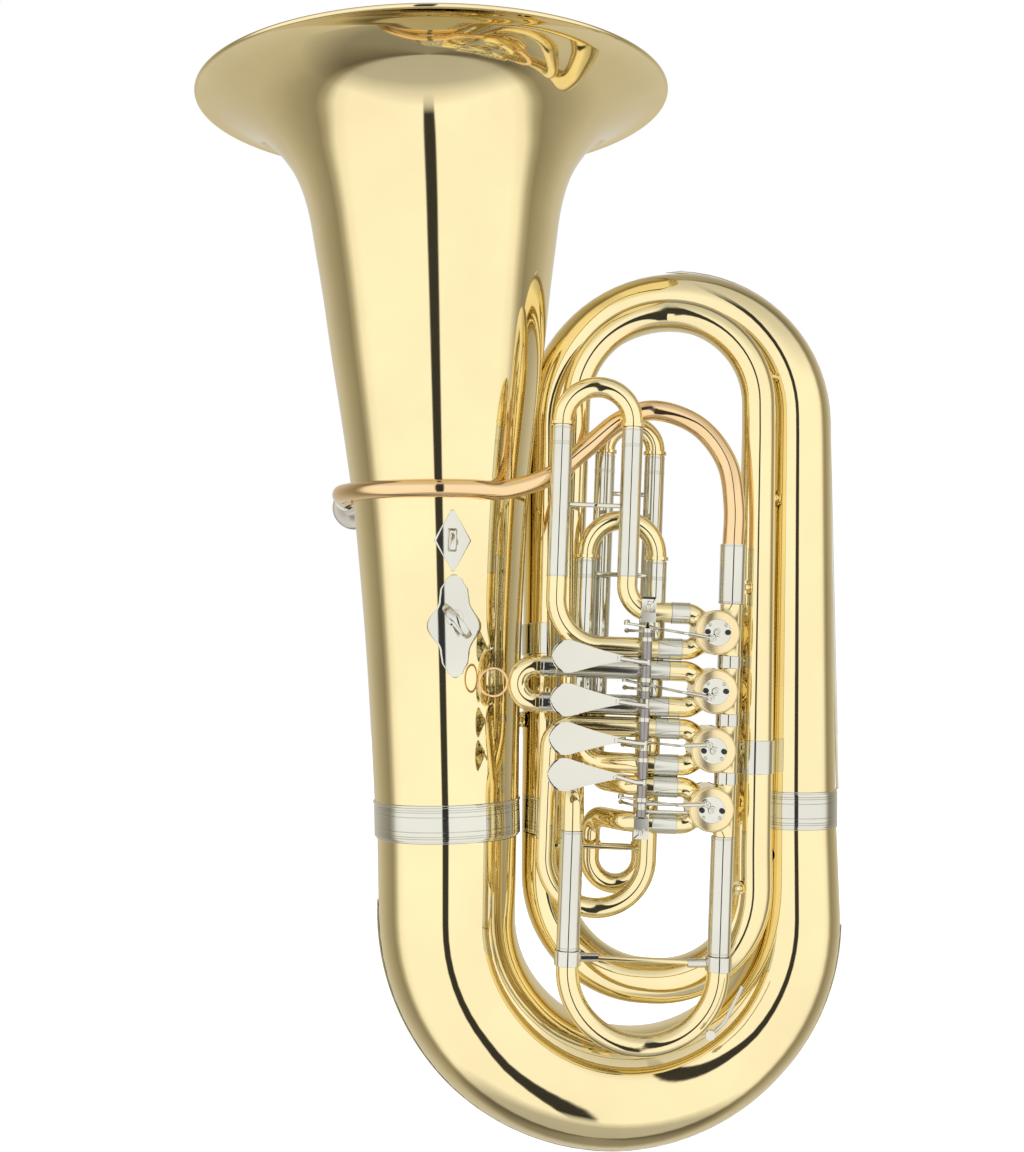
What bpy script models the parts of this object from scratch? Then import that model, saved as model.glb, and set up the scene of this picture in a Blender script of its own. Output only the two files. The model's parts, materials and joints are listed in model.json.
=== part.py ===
"""A four-valve rotary tuba as separate pieces: bugle, valve section, slides, levers and linkages.

Lengths are in millimetres until they reach Blender, which works in metres. Z is up and the player
stands on the +Y side. The origin is the lowest point, under the guard of the large bottom bow. Plan
coordinates (x, y, z) are measured from a datum DATUM_X to the left of the origin and DATUM_Z above it.
The valve section leans by LEAN about its middle, so its pieces are laid out upright and turned as one
with leaned().
"""

import math

import bmesh
import bpy
from mathutils import Matrix, Vector

MM = 0.001
DATUM_X = 107.0
DATUM_Z = 2.6
LEAN = math.radians(2.2)
LEAN_PIVOT = Vector((187.0, 0.0, 426.0))
GAP = 0.35

# Bugle
BELL_TILT = math.radians(1.23)
BELL_FOOT = Vector((-64.5, 0.0, 326.0))
BELL_HEIGHT = 721.0
BELL_RIM_R = 236.0
SHEET = 0.8
BOW_R = 171.5
BOW_CENTRE = Vector((107.0, 0.0, 230.5))

# Valve section, before it leans
PORT_Y = -85.0
VALVE_X = 187.0
MAIN_X = 202.7
VALVE_Z = (508.0, 453.6, 399.2, 344.8)
PORT_DZ = 17.0
CASING_R = 20.5
BORE_R = 17.6
CASING_FRONT = -107.5
CASING_BACK = -62.5
TUBE_R = 9.6
SLIDE_LEG_R = 8.4
OUTER_R = 9.9
OUTER_WALL = 1.0

# Linkage
PIN_R = 8.0
LEVER_TURN = 15.0
AXLE_X = 122.7
AXLE_Y = -106.0
AXLE_R = 2.0
HUB_R = 4.2
BALL_OFFSET = Vector((-16.0, 42.0, 0.0))
PADDLE_Y = -124.0
PADDLE_Z = (481.0, 441.3, 406.0, 373.0)
PADDLE_TIP_X = 34.0
PIN_SIGN = (-1, -1, 1, 1)
ROD_Y = -119.4
ROD_RISE = (5.8, 5.8, 3.4, 3.4)
ROD_KNEE = (0.35, 0.35, 0.9, 0.9)
BALL_DROP = 1.1

BRASS = (0.83, 0.62, 0.22)
ROSE = (0.85, 0.58, 0.36)
NICKEL = (0.80, 0.78, 0.74)
SILVER = (0.88, 0.88, 0.88)


def leaned(x, y, z):
    """A valve-section point turned by the lean, in plan coordinates."""
    turn = Matrix.Rotation(LEAN, 3, "Y")
    return LEAN_PIVOT + turn @ (Vector((x, y, z)) - LEAN_PIVOT)


def world(point):
    """A plan point in metres from the origin."""
    return Vector((point[0] - DATUM_X, point[1], point[2] + DATUM_Z)) * MM


def material(name, colour, roughness=0.15, metallic=1.0):
    made = bpy.data.materials.get(name)
    if made is None:
        made = bpy.data.materials.new(name)
        made.use_nodes = True
        shader = made.node_tree.nodes["Principled BSDF"]
        shader.inputs["Base Color"].default_value = (*colour, 1.0)
        shader.inputs["Roughness"].default_value = roughness
        shader.inputs["Metallic"].default_value = metallic
    return made


def collection(name, shown=True):
    made = bpy.data.collections.new(name)
    bpy.context.scene.collection.children.link(made)
    made.hide_render = not shown
    return made


def place(name, mesh, colour_name, colour):
    """A new piece from a mesh, shaded smooth but for its sharp edges."""
    piece = bpy.data.objects.new(name, mesh)
    PIECES.objects.link(piece)
    mesh.materials.clear()
    mesh.materials.append(material(colour_name, colour))
    mesh.shade_smooth()
    mesh.set_sharp_from_angle(angle=math.radians(40))
    return piece


def rounded_route(stops, turn_step=18.0):
    """Points and radii along straight runs joined by arcs.

    A stop is (point, bend radius, tube radius); a bend radius of 0 is a plain corner or an end.
    """
    points, keys = [], []
    for i, (corner, bend, radius) in enumerate(stops):
        corner = Vector(corner)
        if bend == 0 or i in (0, len(stops) - 1):
            points.append(corner)
            keys.append((len(points) - 1, radius))
            continue
        back = (Vector(stops[i - 1][0]) - corner).normalized()
        ahead = (Vector(stops[i + 1][0]) - corner).normalized()
        turned = math.pi - back.angle(ahead)
        reach = bend * math.tan(turned / 2)
        centre = corner + (back + ahead).normalized() * (bend / math.cos(turned / 2))
        start = corner + back * reach
        steps = max(2, round(math.degrees(turned) / turn_step))
        axis = (start - centre).cross(-back).normalized()
        first = len(points)
        for step in range(steps + 1):
            spin = Matrix.Rotation(turned * step / steps, 3, axis)
            point = centre + spin @ (start - centre)
            if not points or (point - points[-1]).length > 0.5:
                points.append(point)
        keys.append(((first + len(points) - 1) // 2, radius))
    lengths = [0.0]
    for before, after in zip(points, points[1:]):
        lengths.append(lengths[-1] + (after - before).length)
    radii = []
    for i, length in enumerate(lengths):
        low = max((k for k in keys if k[0] <= i), key=lambda k: k[0])
        high = min((k for k in keys if k[0] >= i), key=lambda k: k[0])
        span = lengths[high[0]] - lengths[low[0]]
        share = (length - lengths[low[0]]) / span if span else 0.0
        radii.append(low[1] + share * (high[1] - low[1]))
    return points, radii


def smooth_route(points, per_span=4):
    """Points on a Catmull-Rom curve through the given ones."""
    points = [Vector(p) for p in points]
    ends = [2 * points[0] - points[1], *points, 2 * points[-1] - points[-2]]
    made = []
    for a, b, c, d in zip(ends, ends[1:], ends[2:], ends[3:]):
        for step in range(per_span):
            t = step / per_span
            made.append(
                0.5 * (2 * b + (c - a) * t + (2 * a - 5 * b + 4 * c - d) * t**2 + (3 * b - a - 3 * c + d) * t**3)
            )
    return [*made, points[-1]]


def tube_mesh(name, points, radii, sides, capped):
    """The mesh of a round tube through the points. The number of sides is even."""
    curve = bpy.data.curves.new(name, "CURVE")
    curve.dimensions = "3D"
    curve.bevel_depth = MM
    curve.bevel_resolution = sides // 2 - 2
    curve.use_fill_caps = capped
    line = curve.splines.new("POLY")
    line.points.add(len(points) - 1)
    for knot, point, radius in zip(line.points, points, radii):
        knot.co = (*world(point), 1.0)
        knot.radius = radius
    guide = bpy.data.objects.new(name, curve)
    PIECES.objects.link(guide)
    graph = bpy.context.evaluated_depsgraph_get()
    mesh = bpy.data.meshes.new_from_object(guide.evaluated_get(graph))
    bpy.data.objects.remove(guide)
    bpy.data.curves.remove(curve)
    form = bmesh.new()
    form.from_mesh(mesh)
    bmesh.ops.remove_doubles(form, verts=form.verts, dist=1e-6)
    bmesh.ops.recalc_face_normals(form, faces=form.faces)
    if not capped:
        middle = form.faces[0].calc_center_median()
        nearest = min((world(p) for p in points), key=lambda p: (p - middle).length)
        if form.faces[0].normal.dot(middle - nearest) < 0:
            bmesh.ops.reverse_faces(form, faces=form.faces)
    form.to_mesh(mesh)
    form.free()
    return mesh


def tube(name, points, radii, colour_name, colour, sides=10, wall=None, bore=None):
    """A tube with its wall inside the given radii, or one plain bore, or a solid bar if neither is given."""
    if not isinstance(radii, (list, tuple)):
        radii = [radii] * len(points)
    mesh = tube_mesh(name, points, radii, sides, wall is None and bore is None)
    if wall is not None or bore is not None:
        lining = tube_mesh(name, points, [bore or r - wall for r in radii], sides, False)
        form = bmesh.new()
        form.from_mesh(lining)
        bmesh.ops.reverse_faces(form, faces=form.faces)
        form.from_mesh(mesh)
        for end in (world(points[0]), world(points[-1])):
            near = sorted((e for e in form.edges if e.is_boundary),
                          key=lambda e: (e.verts[0].co - end).length)[:2 * sides]
            bmesh.ops.bridge_loops(form, edges=near)
        bmesh.ops.recalc_face_normals(form, faces=form.faces)
        form.to_mesh(mesh)
        form.free()
    return place(name, mesh, colour_name, colour)


def turned(name, profile, base, direction, colour_name, colour, steps=20):
    """A turned piece: (radius, height) points down the outer side, standing at base along direction."""
    mesh = bpy.data.meshes.new(name)
    corners = [(radius * MM, 0.0, height * MM) for radius, height in profile]
    closed = profile[0][0] > 0 and profile[-1][0] > 0
    edges = [(i, i + 1) for i in range(len(corners) - 1)]
    if closed:
        edges.append((len(corners) - 1, 0))
    mesh.from_pydata(corners, edges, [])
    guide = bpy.data.objects.new(name, mesh)
    PIECES.objects.link(guide)
    screw = guide.modifiers.new("Turn", "SCREW")
    screw.steps = screw.render_steps = steps
    screw.use_merge_vertices = True
    screw.merge_threshold = 1e-5
    graph = bpy.context.evaluated_depsgraph_get()
    solid = bpy.data.meshes.new_from_object(guide.evaluated_get(graph))
    bpy.data.objects.remove(guide)
    form = bmesh.new()
    form.from_mesh(solid)
    bmesh.ops.remove_doubles(form, verts=form.verts, dist=1e-6)
    bmesh.ops.recalc_face_normals(form, faces=form.faces)
    turn = Vector(direction).to_track_quat("Z", "Y").to_matrix().to_4x4()
    form.transform(Matrix.Translation(world(base)) @ turn)
    form.to_mesh(solid)
    form.free()
    return place(name, solid, colour_name, colour)


def boolean(piece, other, operation):
    """Joins the other mesh to the piece or cuts it away, and removes the other object."""
    change = piece.modifiers.new(operation.title(), "BOOLEAN")
    change.operation = operation
    change.object = other
    graph = bpy.context.evaluated_depsgraph_get()
    mesh = bpy.data.meshes.new_from_object(piece.evaluated_get(graph))
    piece.modifiers.clear()
    piece.data = mesh
    bpy.data.objects.remove(other)
    return piece


def joined(piece, *others):
    for other in others:
        boolean(piece, other, "UNION")
    return piece


def cut(piece, *others):
    for other in others:
        boolean(piece, other, "DIFFERENCE")
    return piece


def bar(start, end, radius, sides=10, name="helper", colour_name="nickel", colour=NICKEL):
    return tube(name, [Vector(start), Vector(end)], radius, colour_name, colour, sides)


def bell_radius(height):
    """The bell's outer radius at a height above its foot, along its own axis."""
    knots = ((-18, 69.5), (0, 71.0), (170, 77.5), (270, 84.0), (320, 88.5), (460, 106.5), (520, 114.0),
             (560, 119.8), (610, 127.5), (645, 140.0), (672, 158.0), (692, 178.0), (705, 199.0), (715, 224.0))
    for (low, small), (high, large) in zip(knots, knots[1:]):
        if height <= high:
            return small + (large - small) * (height - low) / (high - low)
    return BELL_RIM_R


def bell():
    heights = (712, 705, 692, 672, 645, 610, 560, 500, 420, 320, 170, 0, -17)
    rim = [(BELL_RIM_R - 4.5, BELL_HEIGHT), (BELL_RIM_R, BELL_HEIGHT), (BELL_RIM_R + 1.2, BELL_HEIGHT - 2.5),
           (BELL_RIM_R - 1.0, BELL_HEIGHT - 4.6), (BELL_RIM_R - 7.0, BELL_HEIGHT - 4.9)]
    outside = [(bell_radius(h), h) for h in heights]
    inside = [(bell_radius(h) - SHEET, h + (SHEET if h > 640 else 0)) for h in reversed(heights)]
    inside[0] = (inside[0][0], heights[-1])
    axis = Vector((-math.sin(BELL_TILT), 0.0, math.cos(BELL_TILT)))
    turned("bell", [*rim, *outside, *inside], BELL_FOOT, axis, "lacquered_brass", BRASS, 28)


def ring_on(name, base, direction, length, radius, wall, colour_name="nickel", colour=NICKEL, steps=20):
    """A plain sleeve round a tube."""
    inner = radius - wall
    profile = [(inner, length), (radius, length), (radius, 0.0), (inner, 0.0)]
    return turned(name, profile, base, direction, colour_name, colour, steps)


def large_bow():
    left, right = BELL_FOOT.x, 2 * BOW_R + BELL_FOOT.x
    low = BOW_CENTRE.z - BOW_R
    stops = [((left, 0, 307.5), 0, 69.2), ((left, 0, low), BOW_R, 65.0), ((107.0, 0, low), 0, 59.0),
             ((right, 0, low), BOW_R, 50.5), ((right, 0, 334.5), 0, 42.6)]
    points, radii = rounded_route(stops, 15.0)
    tube("bottom_bow", points, radii, "lacquered_brass", BRASS, 14, SHEET)


def bow_guard():
    """A strip along the outer back of the bow, from the bell side round to the branch side."""
    mesh = bpy.data.meshes.new("bottom_bow_guard")
    form = bmesh.new()
    rows = []
    first, last, steps = 177, 357, 15
    knots = ((170, 68.0), (180, 67.7), (225, 65.0), (270, 59.0), (315, 50.5), (360, 46.0))
    for i in range(steps + 1):
        share = i / steps
        degrees = first + (last - first) * share
        low = max(k for k in knots if k[0] <= degrees)
        high = min(k for k in knots if k[0] > degrees)
        bow_r = low[1] + (high[1] - low[1]) * (degrees - low[0]) / (high[0] - low[0])
        around = math.radians(degrees)
        out = Vector((math.cos(around), 0.0, math.sin(around)))
        centre = BOW_CENTRE + out * BOW_R
        lean = [math.radians(a) for a in (-6, 8, 22, 36, 50)]
        rows.append([form.verts.new(world(centre + (out * math.cos(a) + Vector((0, 1, 0)) * math.sin(a)) * (bow_r + 3.0)))
                     for a in lean])
    for row, following in zip(rows, rows[1:]):
        for a, b, c, d in zip(row, row[1:], following[1:], following):
            form.faces.new((a, d, c, b))
    bmesh.ops.recalc_face_normals(form, faces=form.faces)
    face = form.faces[0]
    if face.normal.dot(face.calc_center_median() - world(BOW_CENTRE)) < 0:
        bmesh.ops.reverse_faces(form, faces=form.faces)
    form.to_mesh(mesh)
    form.free()
    piece = place("bottom_bow_guard", mesh, "nickel", NICKEL)
    sheet = piece.modifiers.new("Sheet", "SOLIDIFY")
    sheet.thickness = SHEET * MM
    sheet.offset = 1.0


def bugle():
    bell()
    axis = Vector((-math.sin(BELL_TILT), 0.0, math.cos(BELL_TILT)))
    ring_on("bell_garland", BELL_FOOT - axis * 17, axis, 32.0, 73.4, 1.0, steps=28)
    large_bow()
    bow_guard()
    ring_on("outer_garland", (278.6, 0, 318.5), (0.01, 0, 1), 33.0, 44.9, 1.0, steps=24)

    outer = [((278.6, 0, 335.2), 0, 42.6), ((283.5, 0, 700), 0, 36.0), ((284.5, 4, 845), 124, 33.0),
             ((161, 25, 845), 0, 29.0), ((37.5, 56, 845), 124, 27.0), ((38.5, 58, 700), 0, 26.0),
             ((36.5, 38, 500), 0, 25.0)]
    tube("outer_branch", *rounded_route(outer), "lacquered_brass", BRASS, 14, SHEET)

    low = [((36.5, 37.9, 499.3), 0, 25.0), ((33.5, 15, 274), 0, 24.0), ((33.5, 13, 167.5), 98.4, 23.5),
           ((132, -17, 167.5), 0, 22.0), ((230.3, -48, 167.5), 98.4, 20.5), ((230.3, -50, 300), 0, 19.6),
           ((232.4, -50, 388.7), 0, 18.9)]
    tube("second_bottom_bow", *rounded_route(low), "lacquered_brass", BRASS, 12, SHEET)

    mouth = leaned(60.5, PORT_Y, 318.0)
    inner = [((232.5, -50, 389.3), 0, 18.8), ((239.6, -50, 700), 0, 16.2), ((240, -50, 818.2), 88, 15.8),
             ((151.8, -44, 818.2), 0, 15.2), ((64, -38, 818.2), 88, 14.2), ((63, -37, 730), 0, 13.6),
             ((59.5, -31, 610), 0, 12.8), ((56.8, -30, 396), 50, 11.8), ((57.2, PORT_Y, 352), 30, 11.0),
             (mouth, 0, 10.6)]
    tube("inner_branch", *rounded_route(inner), "lacquered_brass", BRASS, 10, SHEET)


def leadpipe():
    """The leadpipe hugs the bell, crosses to the valves and turns down into its nickel receiver."""
    height = 645.0
    centre = Vector((BELL_FOOT.x - (height - BELL_FOOT.z) * math.tan(BELL_TILT), 0.0, height))
    hugging = [centre + Vector((math.cos(a), math.sin(a), 0.0)) * 100.5 + Vector((0, 0, 2.0 * math.sin(a)))
               for a in (math.radians(d) for d in (180, 202, 225, 248, 270, 290, 310))]
    start = centre + Vector((-100.5, 44.0, -1.0))
    cross = [leaned(*p) for p in ((28.0, -66.0, 652.0), (60.0, -62.5, 679.0), (93.0, -62.5, 708.0),
                                  (127.0, -62.5, 719.5), (168.0, -63.5, 706.0), (195.0, -72.0, 672.0),
                                  (MAIN_X, -82.0, 630.0), (MAIN_X, PORT_Y, 590.0))]
    route = smooth_route([start, start + Vector((0, -22, 0)), *hugging, *cross], 2)
    radii = [8.0 + 2.2 * i / (len(route) - 1) for i in range(len(route))]
    tube("leadpipe", route, radii, "rose_brass", ROSE, 8)
    ring_on("mouthpiece_receiver", start + Vector((0, -1.5, 0)), (0, 1, 0), 34.0, 10.4, 1.9)
    back = start + Vector((0, 1.0, 0))
    profile = [(12.0, 92), (22.5, 92), (24.0, 90), (24.0, 88), (22.0, 85.5), (20.0, 78), (17.5, 68), (12.0, 60),
               (7.6, 52), (7.0, 36), (8.0, 34), (8.0, 10), (5.5, 10), (5.5, 50), (8.0, 66), (12.5, 76), (15.0, 88)]
    turned("mouthpiece", profile, back, (0, 1, 0), "silver", SILVER, 12)


def u_slide(name, first, second, outward, insert, reach, bow_r, leg_r=SLIDE_LEG_R, ring_r=11.2, sides=8):
    """A U-shaped slide: two legs that stand in the mouths first and second, and a bow beyond them."""
    outward = Vector(outward).normalized()
    first, second = Vector(first), Vector(second)
    bend = (second - first).length / 2
    top_a, top_b = (p + outward * (reach + bend) for p in (first, second))
    near = [(-insert, leg_r), (0.5, leg_r), (0.9, ring_r), (4.0, ring_r), (4.4, bow_r)]
    stops = [(first + outward * at, 0, r) for at, r in near]
    stops += [(top_a, bend, bow_r), (top_b, bend, bow_r)]
    stops += [(second + outward * at, 0, r) for at, r in reversed(near)]
    points, radii = rounded_route(stops, 30.0)
    return tube(name, points, radii, "lacquered_brass", BRASS, sides, bore=leg_r - 0.8)


UP = leaned(0, 0, 1) - leaned(0, 0, 0)
LEFT = leaned(-1, 0, 0) - leaned(0, 0, 0)


def outer_tube(name, mouth, end, radius=OUTER_R, wall=OUTER_WALL):
    return tube(name, [leaned(*mouth), leaned(*end)], radius, "nickel", NICKEL, 12, wall)


def outer_pair(name, mouths, ends, stay_at, radius=OUTER_R):
    """Two outer slide tubes soldered to the stay between them, as one piece."""
    first, second = (outer_tube(name if i == 0 else "helper", mouths[i], ends[i], radius) for i in (0, 1))
    across = (Vector(stay_at[1]) - Vector(stay_at[0])).normalized() * (radius - OUTER_WALL / 2)
    stay = bar(leaned(*(Vector(stay_at[0]) + across)), leaned(*(Vector(stay_at[1]) - across)), 2.2, 8)
    return joined(first, second, stay)


def loop(name, *stops):
    """Brass tubing through (x, y, z, bend radius) stops of the valve section."""
    route = [(leaned(*stop[:3]), stop[3] if len(stop) > 3 else 0, TUBE_R) for stop in stops]
    return tube(name, *rounded_route(route, 24.0), "lacquered_brass", BRASS, 8, SHEET)


def valve_loops():
    """Fixed tubing of the four valves: the outer slide tubes and the brass from them to the ports."""
    port_x = VALVE_X - 41.0
    port = [(z + PORT_DZ, z - PORT_DZ) for z in VALVE_Z]

    outer_pair("first_outer_tubes", [(37.5, PORT_Y, 698), (104, PORT_Y, 698)],
               [(37.5, PORT_Y, 556), (104, PORT_Y, 558)], [(37.5, PORT_Y, 624), (104, PORT_Y, 624)])
    loop("first_loop_left", (37.5, PORT_Y, 555.6), (37.5, PORT_Y, port[0][1], 44), (port_x, PORT_Y, port[0][1]))
    loop("first_loop_right", (104, PORT_Y, 557.6), (104, PORT_Y, port[0][0], 25), (port_x, PORT_Y, port[0][0]))

    high, low = port[1]
    outer_pair("second_outer_tubes", [(26, PORT_Y, high), (26, PORT_Y, low)],
               [(port_x, PORT_Y, high), (port_x, PORT_Y, low)], [(70, PORT_Y, high), (70, PORT_Y, low)], 9.7)

    outer_pair("third_outer_tubes", [(66, -62, 574), (133, -62, 574)], [(66, -62, 440), (133, -62, 440)],
               [(66, -62, 560), (133, -62, 560)])
    loop("third_loop_left", (66, -62, 439.6), (66, -62, port[2][1], 26), (112, -85, port[2][1], 40),
         (port_x, PORT_Y, port[2][1]))
    loop("third_loop_right", (133, -62, 439.6), (133, -62, 242, 48), (37, -62, 242, 48), (37, -62, 350),
         (37, -84, port[2][0], 24), (66, PORT_Y, port[2][0]), (port_x, PORT_Y, port[2][0]))

    outer_pair("fourth_outer_tubes", [(81.5, -38, 678), (130, -38, 678)], [(81.5, -38, 440), (130, -38, 440)],
               [(81.5, -38, 640), (130, -38, 640)], 9.7)
    loop("fourth_loop_upper", (81.5, -38, 439.6), (81.5, -38, port[3][0], 22), (114, PORT_Y, port[3][0], 22),
         (port_x, PORT_Y, port[3][0]))
    loop("fourth_loop_lower", (130, -38, 439.6), (130, -40, 262.5, 24.9), (80, -40, 262.5, 24.9),
         (80, -40, port[3][1], 17), (112, PORT_Y, port[3][1], 22), (port_x, PORT_Y, port[3][1]))


def slides():
    u_slide("first_slide", leaned(37.5, PORT_Y, 698.3), leaned(104, PORT_Y, 698.3), UP, 130, 4.6, 9.8)
    high, low = VALVE_Z[1] + PORT_DZ, VALVE_Z[1] - PORT_DZ
    u_slide("second_slide", leaned(25.7, PORT_Y, high), leaned(25.7, PORT_Y, low), LEFT, 100, 4.6, 9.8)
    u_slide("third_slide", leaned(66, -62, 574.3), leaned(133, -62, 574.3), UP, 120, 4.6, 9.4)
    u_slide("fourth_slide", leaned(81.5, -38, 678.3), leaned(130, -38, 678.3), UP, 150, 4.6, 9.4)
    left, right = leaned(60.5, PORT_Y, 317.5), leaned(201.8, PORT_Y, 317.5)
    outer_tube("tuning_outer_left", (60.5, PORT_Y, 207.0), (60.5, PORT_Y, 317.5), 10.9, 1.0)
    outer_tube("tuning_outer_right", (201.8, PORT_Y, 207.0), (201.8, PORT_Y, 317.5), 10.9, 1.0)
    down = -UP
    u_slide("main_tuning_slide", left + down * 110.8, right + down * 110.8, down, 95, 16, 10.8, 9.5, 12.4)


def along_y(x, z, front, back, radius, name="helper", sides=16):
    """A solid cylinder along Y in the valve section."""
    return bar(leaned(x, front, z), leaned(x, back, z), radius, sides, name, "lacquered_brass", BRASS)


def valve(number, height):
    """One rotary valve: casing with its tube stubs, front cap, rotor with spindle and stop arm."""
    casing = along_y(VALVE_X, height, CASING_FRONT, CASING_BACK, CASING_R, f"valve_casing_{number}")
    half = (VALVE_Z[0] - VALVE_Z[1]) / 2 - GAP / 2
    stub = bar(leaned(MAIN_X, PORT_Y, height - half), leaned(MAIN_X, PORT_Y, height + half), 10.3, 8)
    stubs = [stub]
    for dz in (PORT_DZ, -PORT_DZ):
        route = rounded_route([(leaned(VALVE_X - 40.6, PORT_Y, height + dz), 0, TUBE_R),
                               (leaned(VALVE_X - 22, PORT_Y, height + dz), 14, TUBE_R),
                               (leaned(VALVE_X - 6, PORT_Y, height + dz * 0.35), 0, TUBE_R)], 20)
        stubs.append(tube("helper", *route, "lacquered_brass", BRASS, 6))
    joined(casing, *stubs)
    cut(casing, along_y(VALVE_X, height, CASING_FRONT - 5, CASING_BACK + 3, BORE_R))

    cap = along_y(VALVE_X, height, CASING_FRONT - 5.5, CASING_FRONT - GAP, 20.9, f"valve_cap_{number}")
    cut(cap, along_y(VALVE_X, height, CASING_FRONT - 9, CASING_FRONT + 3, 3.9, sides=16))

    rotor = along_y(VALVE_X, height, CASING_FRONT + 1, CASING_BACK + 2.4, BORE_R - GAP, f"rotor_{number}")
    spindle = along_y(VALVE_X, height, CASING_FRONT - 10.5, CASING_FRONT + 2, 3.4, sides=12)
    side = PIN_R * math.sqrt(0.5)
    pin_x, pin_z = VALVE_X - side, height + PIN_SIGN[number - 1] * side
    arm = bar(leaned(VALVE_X + 1, -115.0, height - PIN_SIGN[number - 1]), leaned(pin_x - 1.6, -115.0, pin_z
              + PIN_SIGN[number - 1] * 1.6), 2.0, 8)
    pin = along_y(pin_x, pin_z, -122.5, -114.5, 1.5, sides=10)
    joined(rotor, spindle, arm, pin)


def rod(number, height):
    """The link from just over the lever's ball to the stop arm's pin, bent to clear the casing."""
    side = PIN_R * math.sqrt(0.5)
    pin_z = height + PIN_SIGN[number - 1] * side
    pin = leaned(VALVE_X - side, ROD_Y, pin_z)
    end_z = height + ROD_RISE[number - 1]
    knee = leaned(VALVE_X - 32.0, ROD_Y, pin_z + (end_z - pin_z) * ROD_KNEE[number - 1])
    end = leaned(AXLE_X + BALL_OFFSET.x, AXLE_Y + BALL_OFFSET.y, end_z)
    way = (pin - knee).normalized()
    link = tube(f"rod_{number}", [end, knee, pin - way * 3.0], 1.25, "nickel", NICKEL, 6)
    sleeve = bar(pin - way * 22, pin - way * 3.0, 1.9, 6)
    eye = bar(pin - Vector((0, 1.6, 0)), pin + Vector((0, 1.6, 0)), 3.6, 10)
    cup = bar(end - UP * 1.5, end + UP * 1.9, 3.0, 8)
    joined(link, sleeve, eye, cup)
    cut(link, bar(pin - Vector((0, 4, 0)), pin + Vector((0, 4, 0)), 1.5 + GAP, 10))


def lever(number, height):
    """A paddle, its arm over the axle, the hub on the axle and the rear arm with the ball."""
    paddle_z = PADDLE_Z[number - 1]
    cross_z = paddle_z - 3.0 if number < 4 else paddle_z - 6.0
    wide, narrow, length = 15.5, 3.4, 66.0
    outline = [(wide + wide * math.cos(a), wide * math.sin(a)) for a in
               (math.radians(d) for d in range(75, 286, 30))]
    outline += [(length * 0.55, -wide * 0.62), (length * 0.85, -narrow * 1.25), (length, -narrow),
                (length, narrow), (length * 0.85, narrow * 1.25), (length * 0.55, wide * 0.62)]
    form = bmesh.new()
    verts = [form.verts.new(world(leaned(PADDLE_TIP_X + x, PADDLE_Y + 0.0011 * (x - 20) ** 2, paddle_z + z)))
             for x, z in outline]
    sheet = form.faces.new(verts)
    made = bmesh.ops.extrude_face_region(form, geom=[sheet])
    moved = [v for v in made["geom"] if isinstance(v, bmesh.types.BMVert)]
    bmesh.ops.translate(form, verts=moved, vec=(0, 1.8 * MM, 0))
    bmesh.ops.recalc_face_normals(form, faces=form.faces)
    mesh = bpy.data.meshes.new(f"lever_{number}")
    form.to_mesh(mesh)
    form.free()
    piece = place(f"lever_{number}", mesh, "nickel", NICKEL)
    arm = [(PADDLE_TIP_X + length - 3, PADDLE_Y + 2.8, paddle_z), (AXLE_X - 8, AXLE_Y - 8.0, cross_z + 0.6),
           (AXLE_X, AXLE_Y - HUB_R, cross_z)]
    route = [leaned(*p) for p in arm]
    ball_z = height - BALL_DROP
    ends = sorted((cross_z, ball_z))
    low, high = ends[0] - 2.5, ends[1] + 2.5
    hub = bar(leaned(AXLE_X, AXLE_Y, low), leaned(AXLE_X, AXLE_Y, high), HUB_R, 10)
    ball = leaned(AXLE_X + BALL_OFFSET.x, AXLE_Y + BALL_OFFSET.y, ball_z)
    rear = tube("helper", [leaned(AXLE_X, AXLE_Y + 3.0, ball_z), ball], 1.4, "nickel", NICKEL, 6)
    knob = turned("helper", [(0, 2.6), (1.8, 1.8), (2.6, 0), (1.8, -1.8), (0, -2.6)], ball, UP, "nickel", NICKEL, 8)
    joined(piece, tube("helper", route, 2.2, "nickel", NICKEL, 6), hub, rear, knob)
    cut(piece, bar(leaned(AXLE_X, AXLE_Y, low - 3), leaned(AXLE_X, AXLE_Y, high + 3), AXLE_R + GAP, 8))


def rack():
    """The axle of the levers and the two straps that carry it, screwed together as one piece."""
    low, high = 318.0, 531.0
    axle = bar(leaned(AXLE_X, AXLE_Y, low), leaned(AXLE_X, AXLE_Y, high), AXLE_R, 8, "lever_rack")
    for block_z, reach_z in ((519.5, 527.0), (329.5, 326.0)):
        block = slab("helper", leaned(AXLE_X, AXLE_Y - 1.0, block_z), (13.5, 9.0, 9.0))
        reach = slab("helper", leaned(AXLE_X + 1, -99.2, reach_z), (13.5, 7.0, 24.0))
        joined(axle, block, reach)


def slab(name, centre, size, colour_name="nickel", colour=NICKEL):
    """A box that leans with the valve section."""
    mesh = bpy.data.meshes.new(name)
    form = bmesh.new()
    bmesh.ops.create_cube(form, size=1.0)
    bmesh.ops.scale(form, vec=Vector(size) * MM, verts=form.verts)
    turn = Matrix.Rotation(LEAN, 4, "Y")
    form.transform(Matrix.Translation(world(centre)) @ turn)
    form.to_mesh(mesh)
    form.free()
    return place(name, mesh, colour_name, colour)


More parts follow.
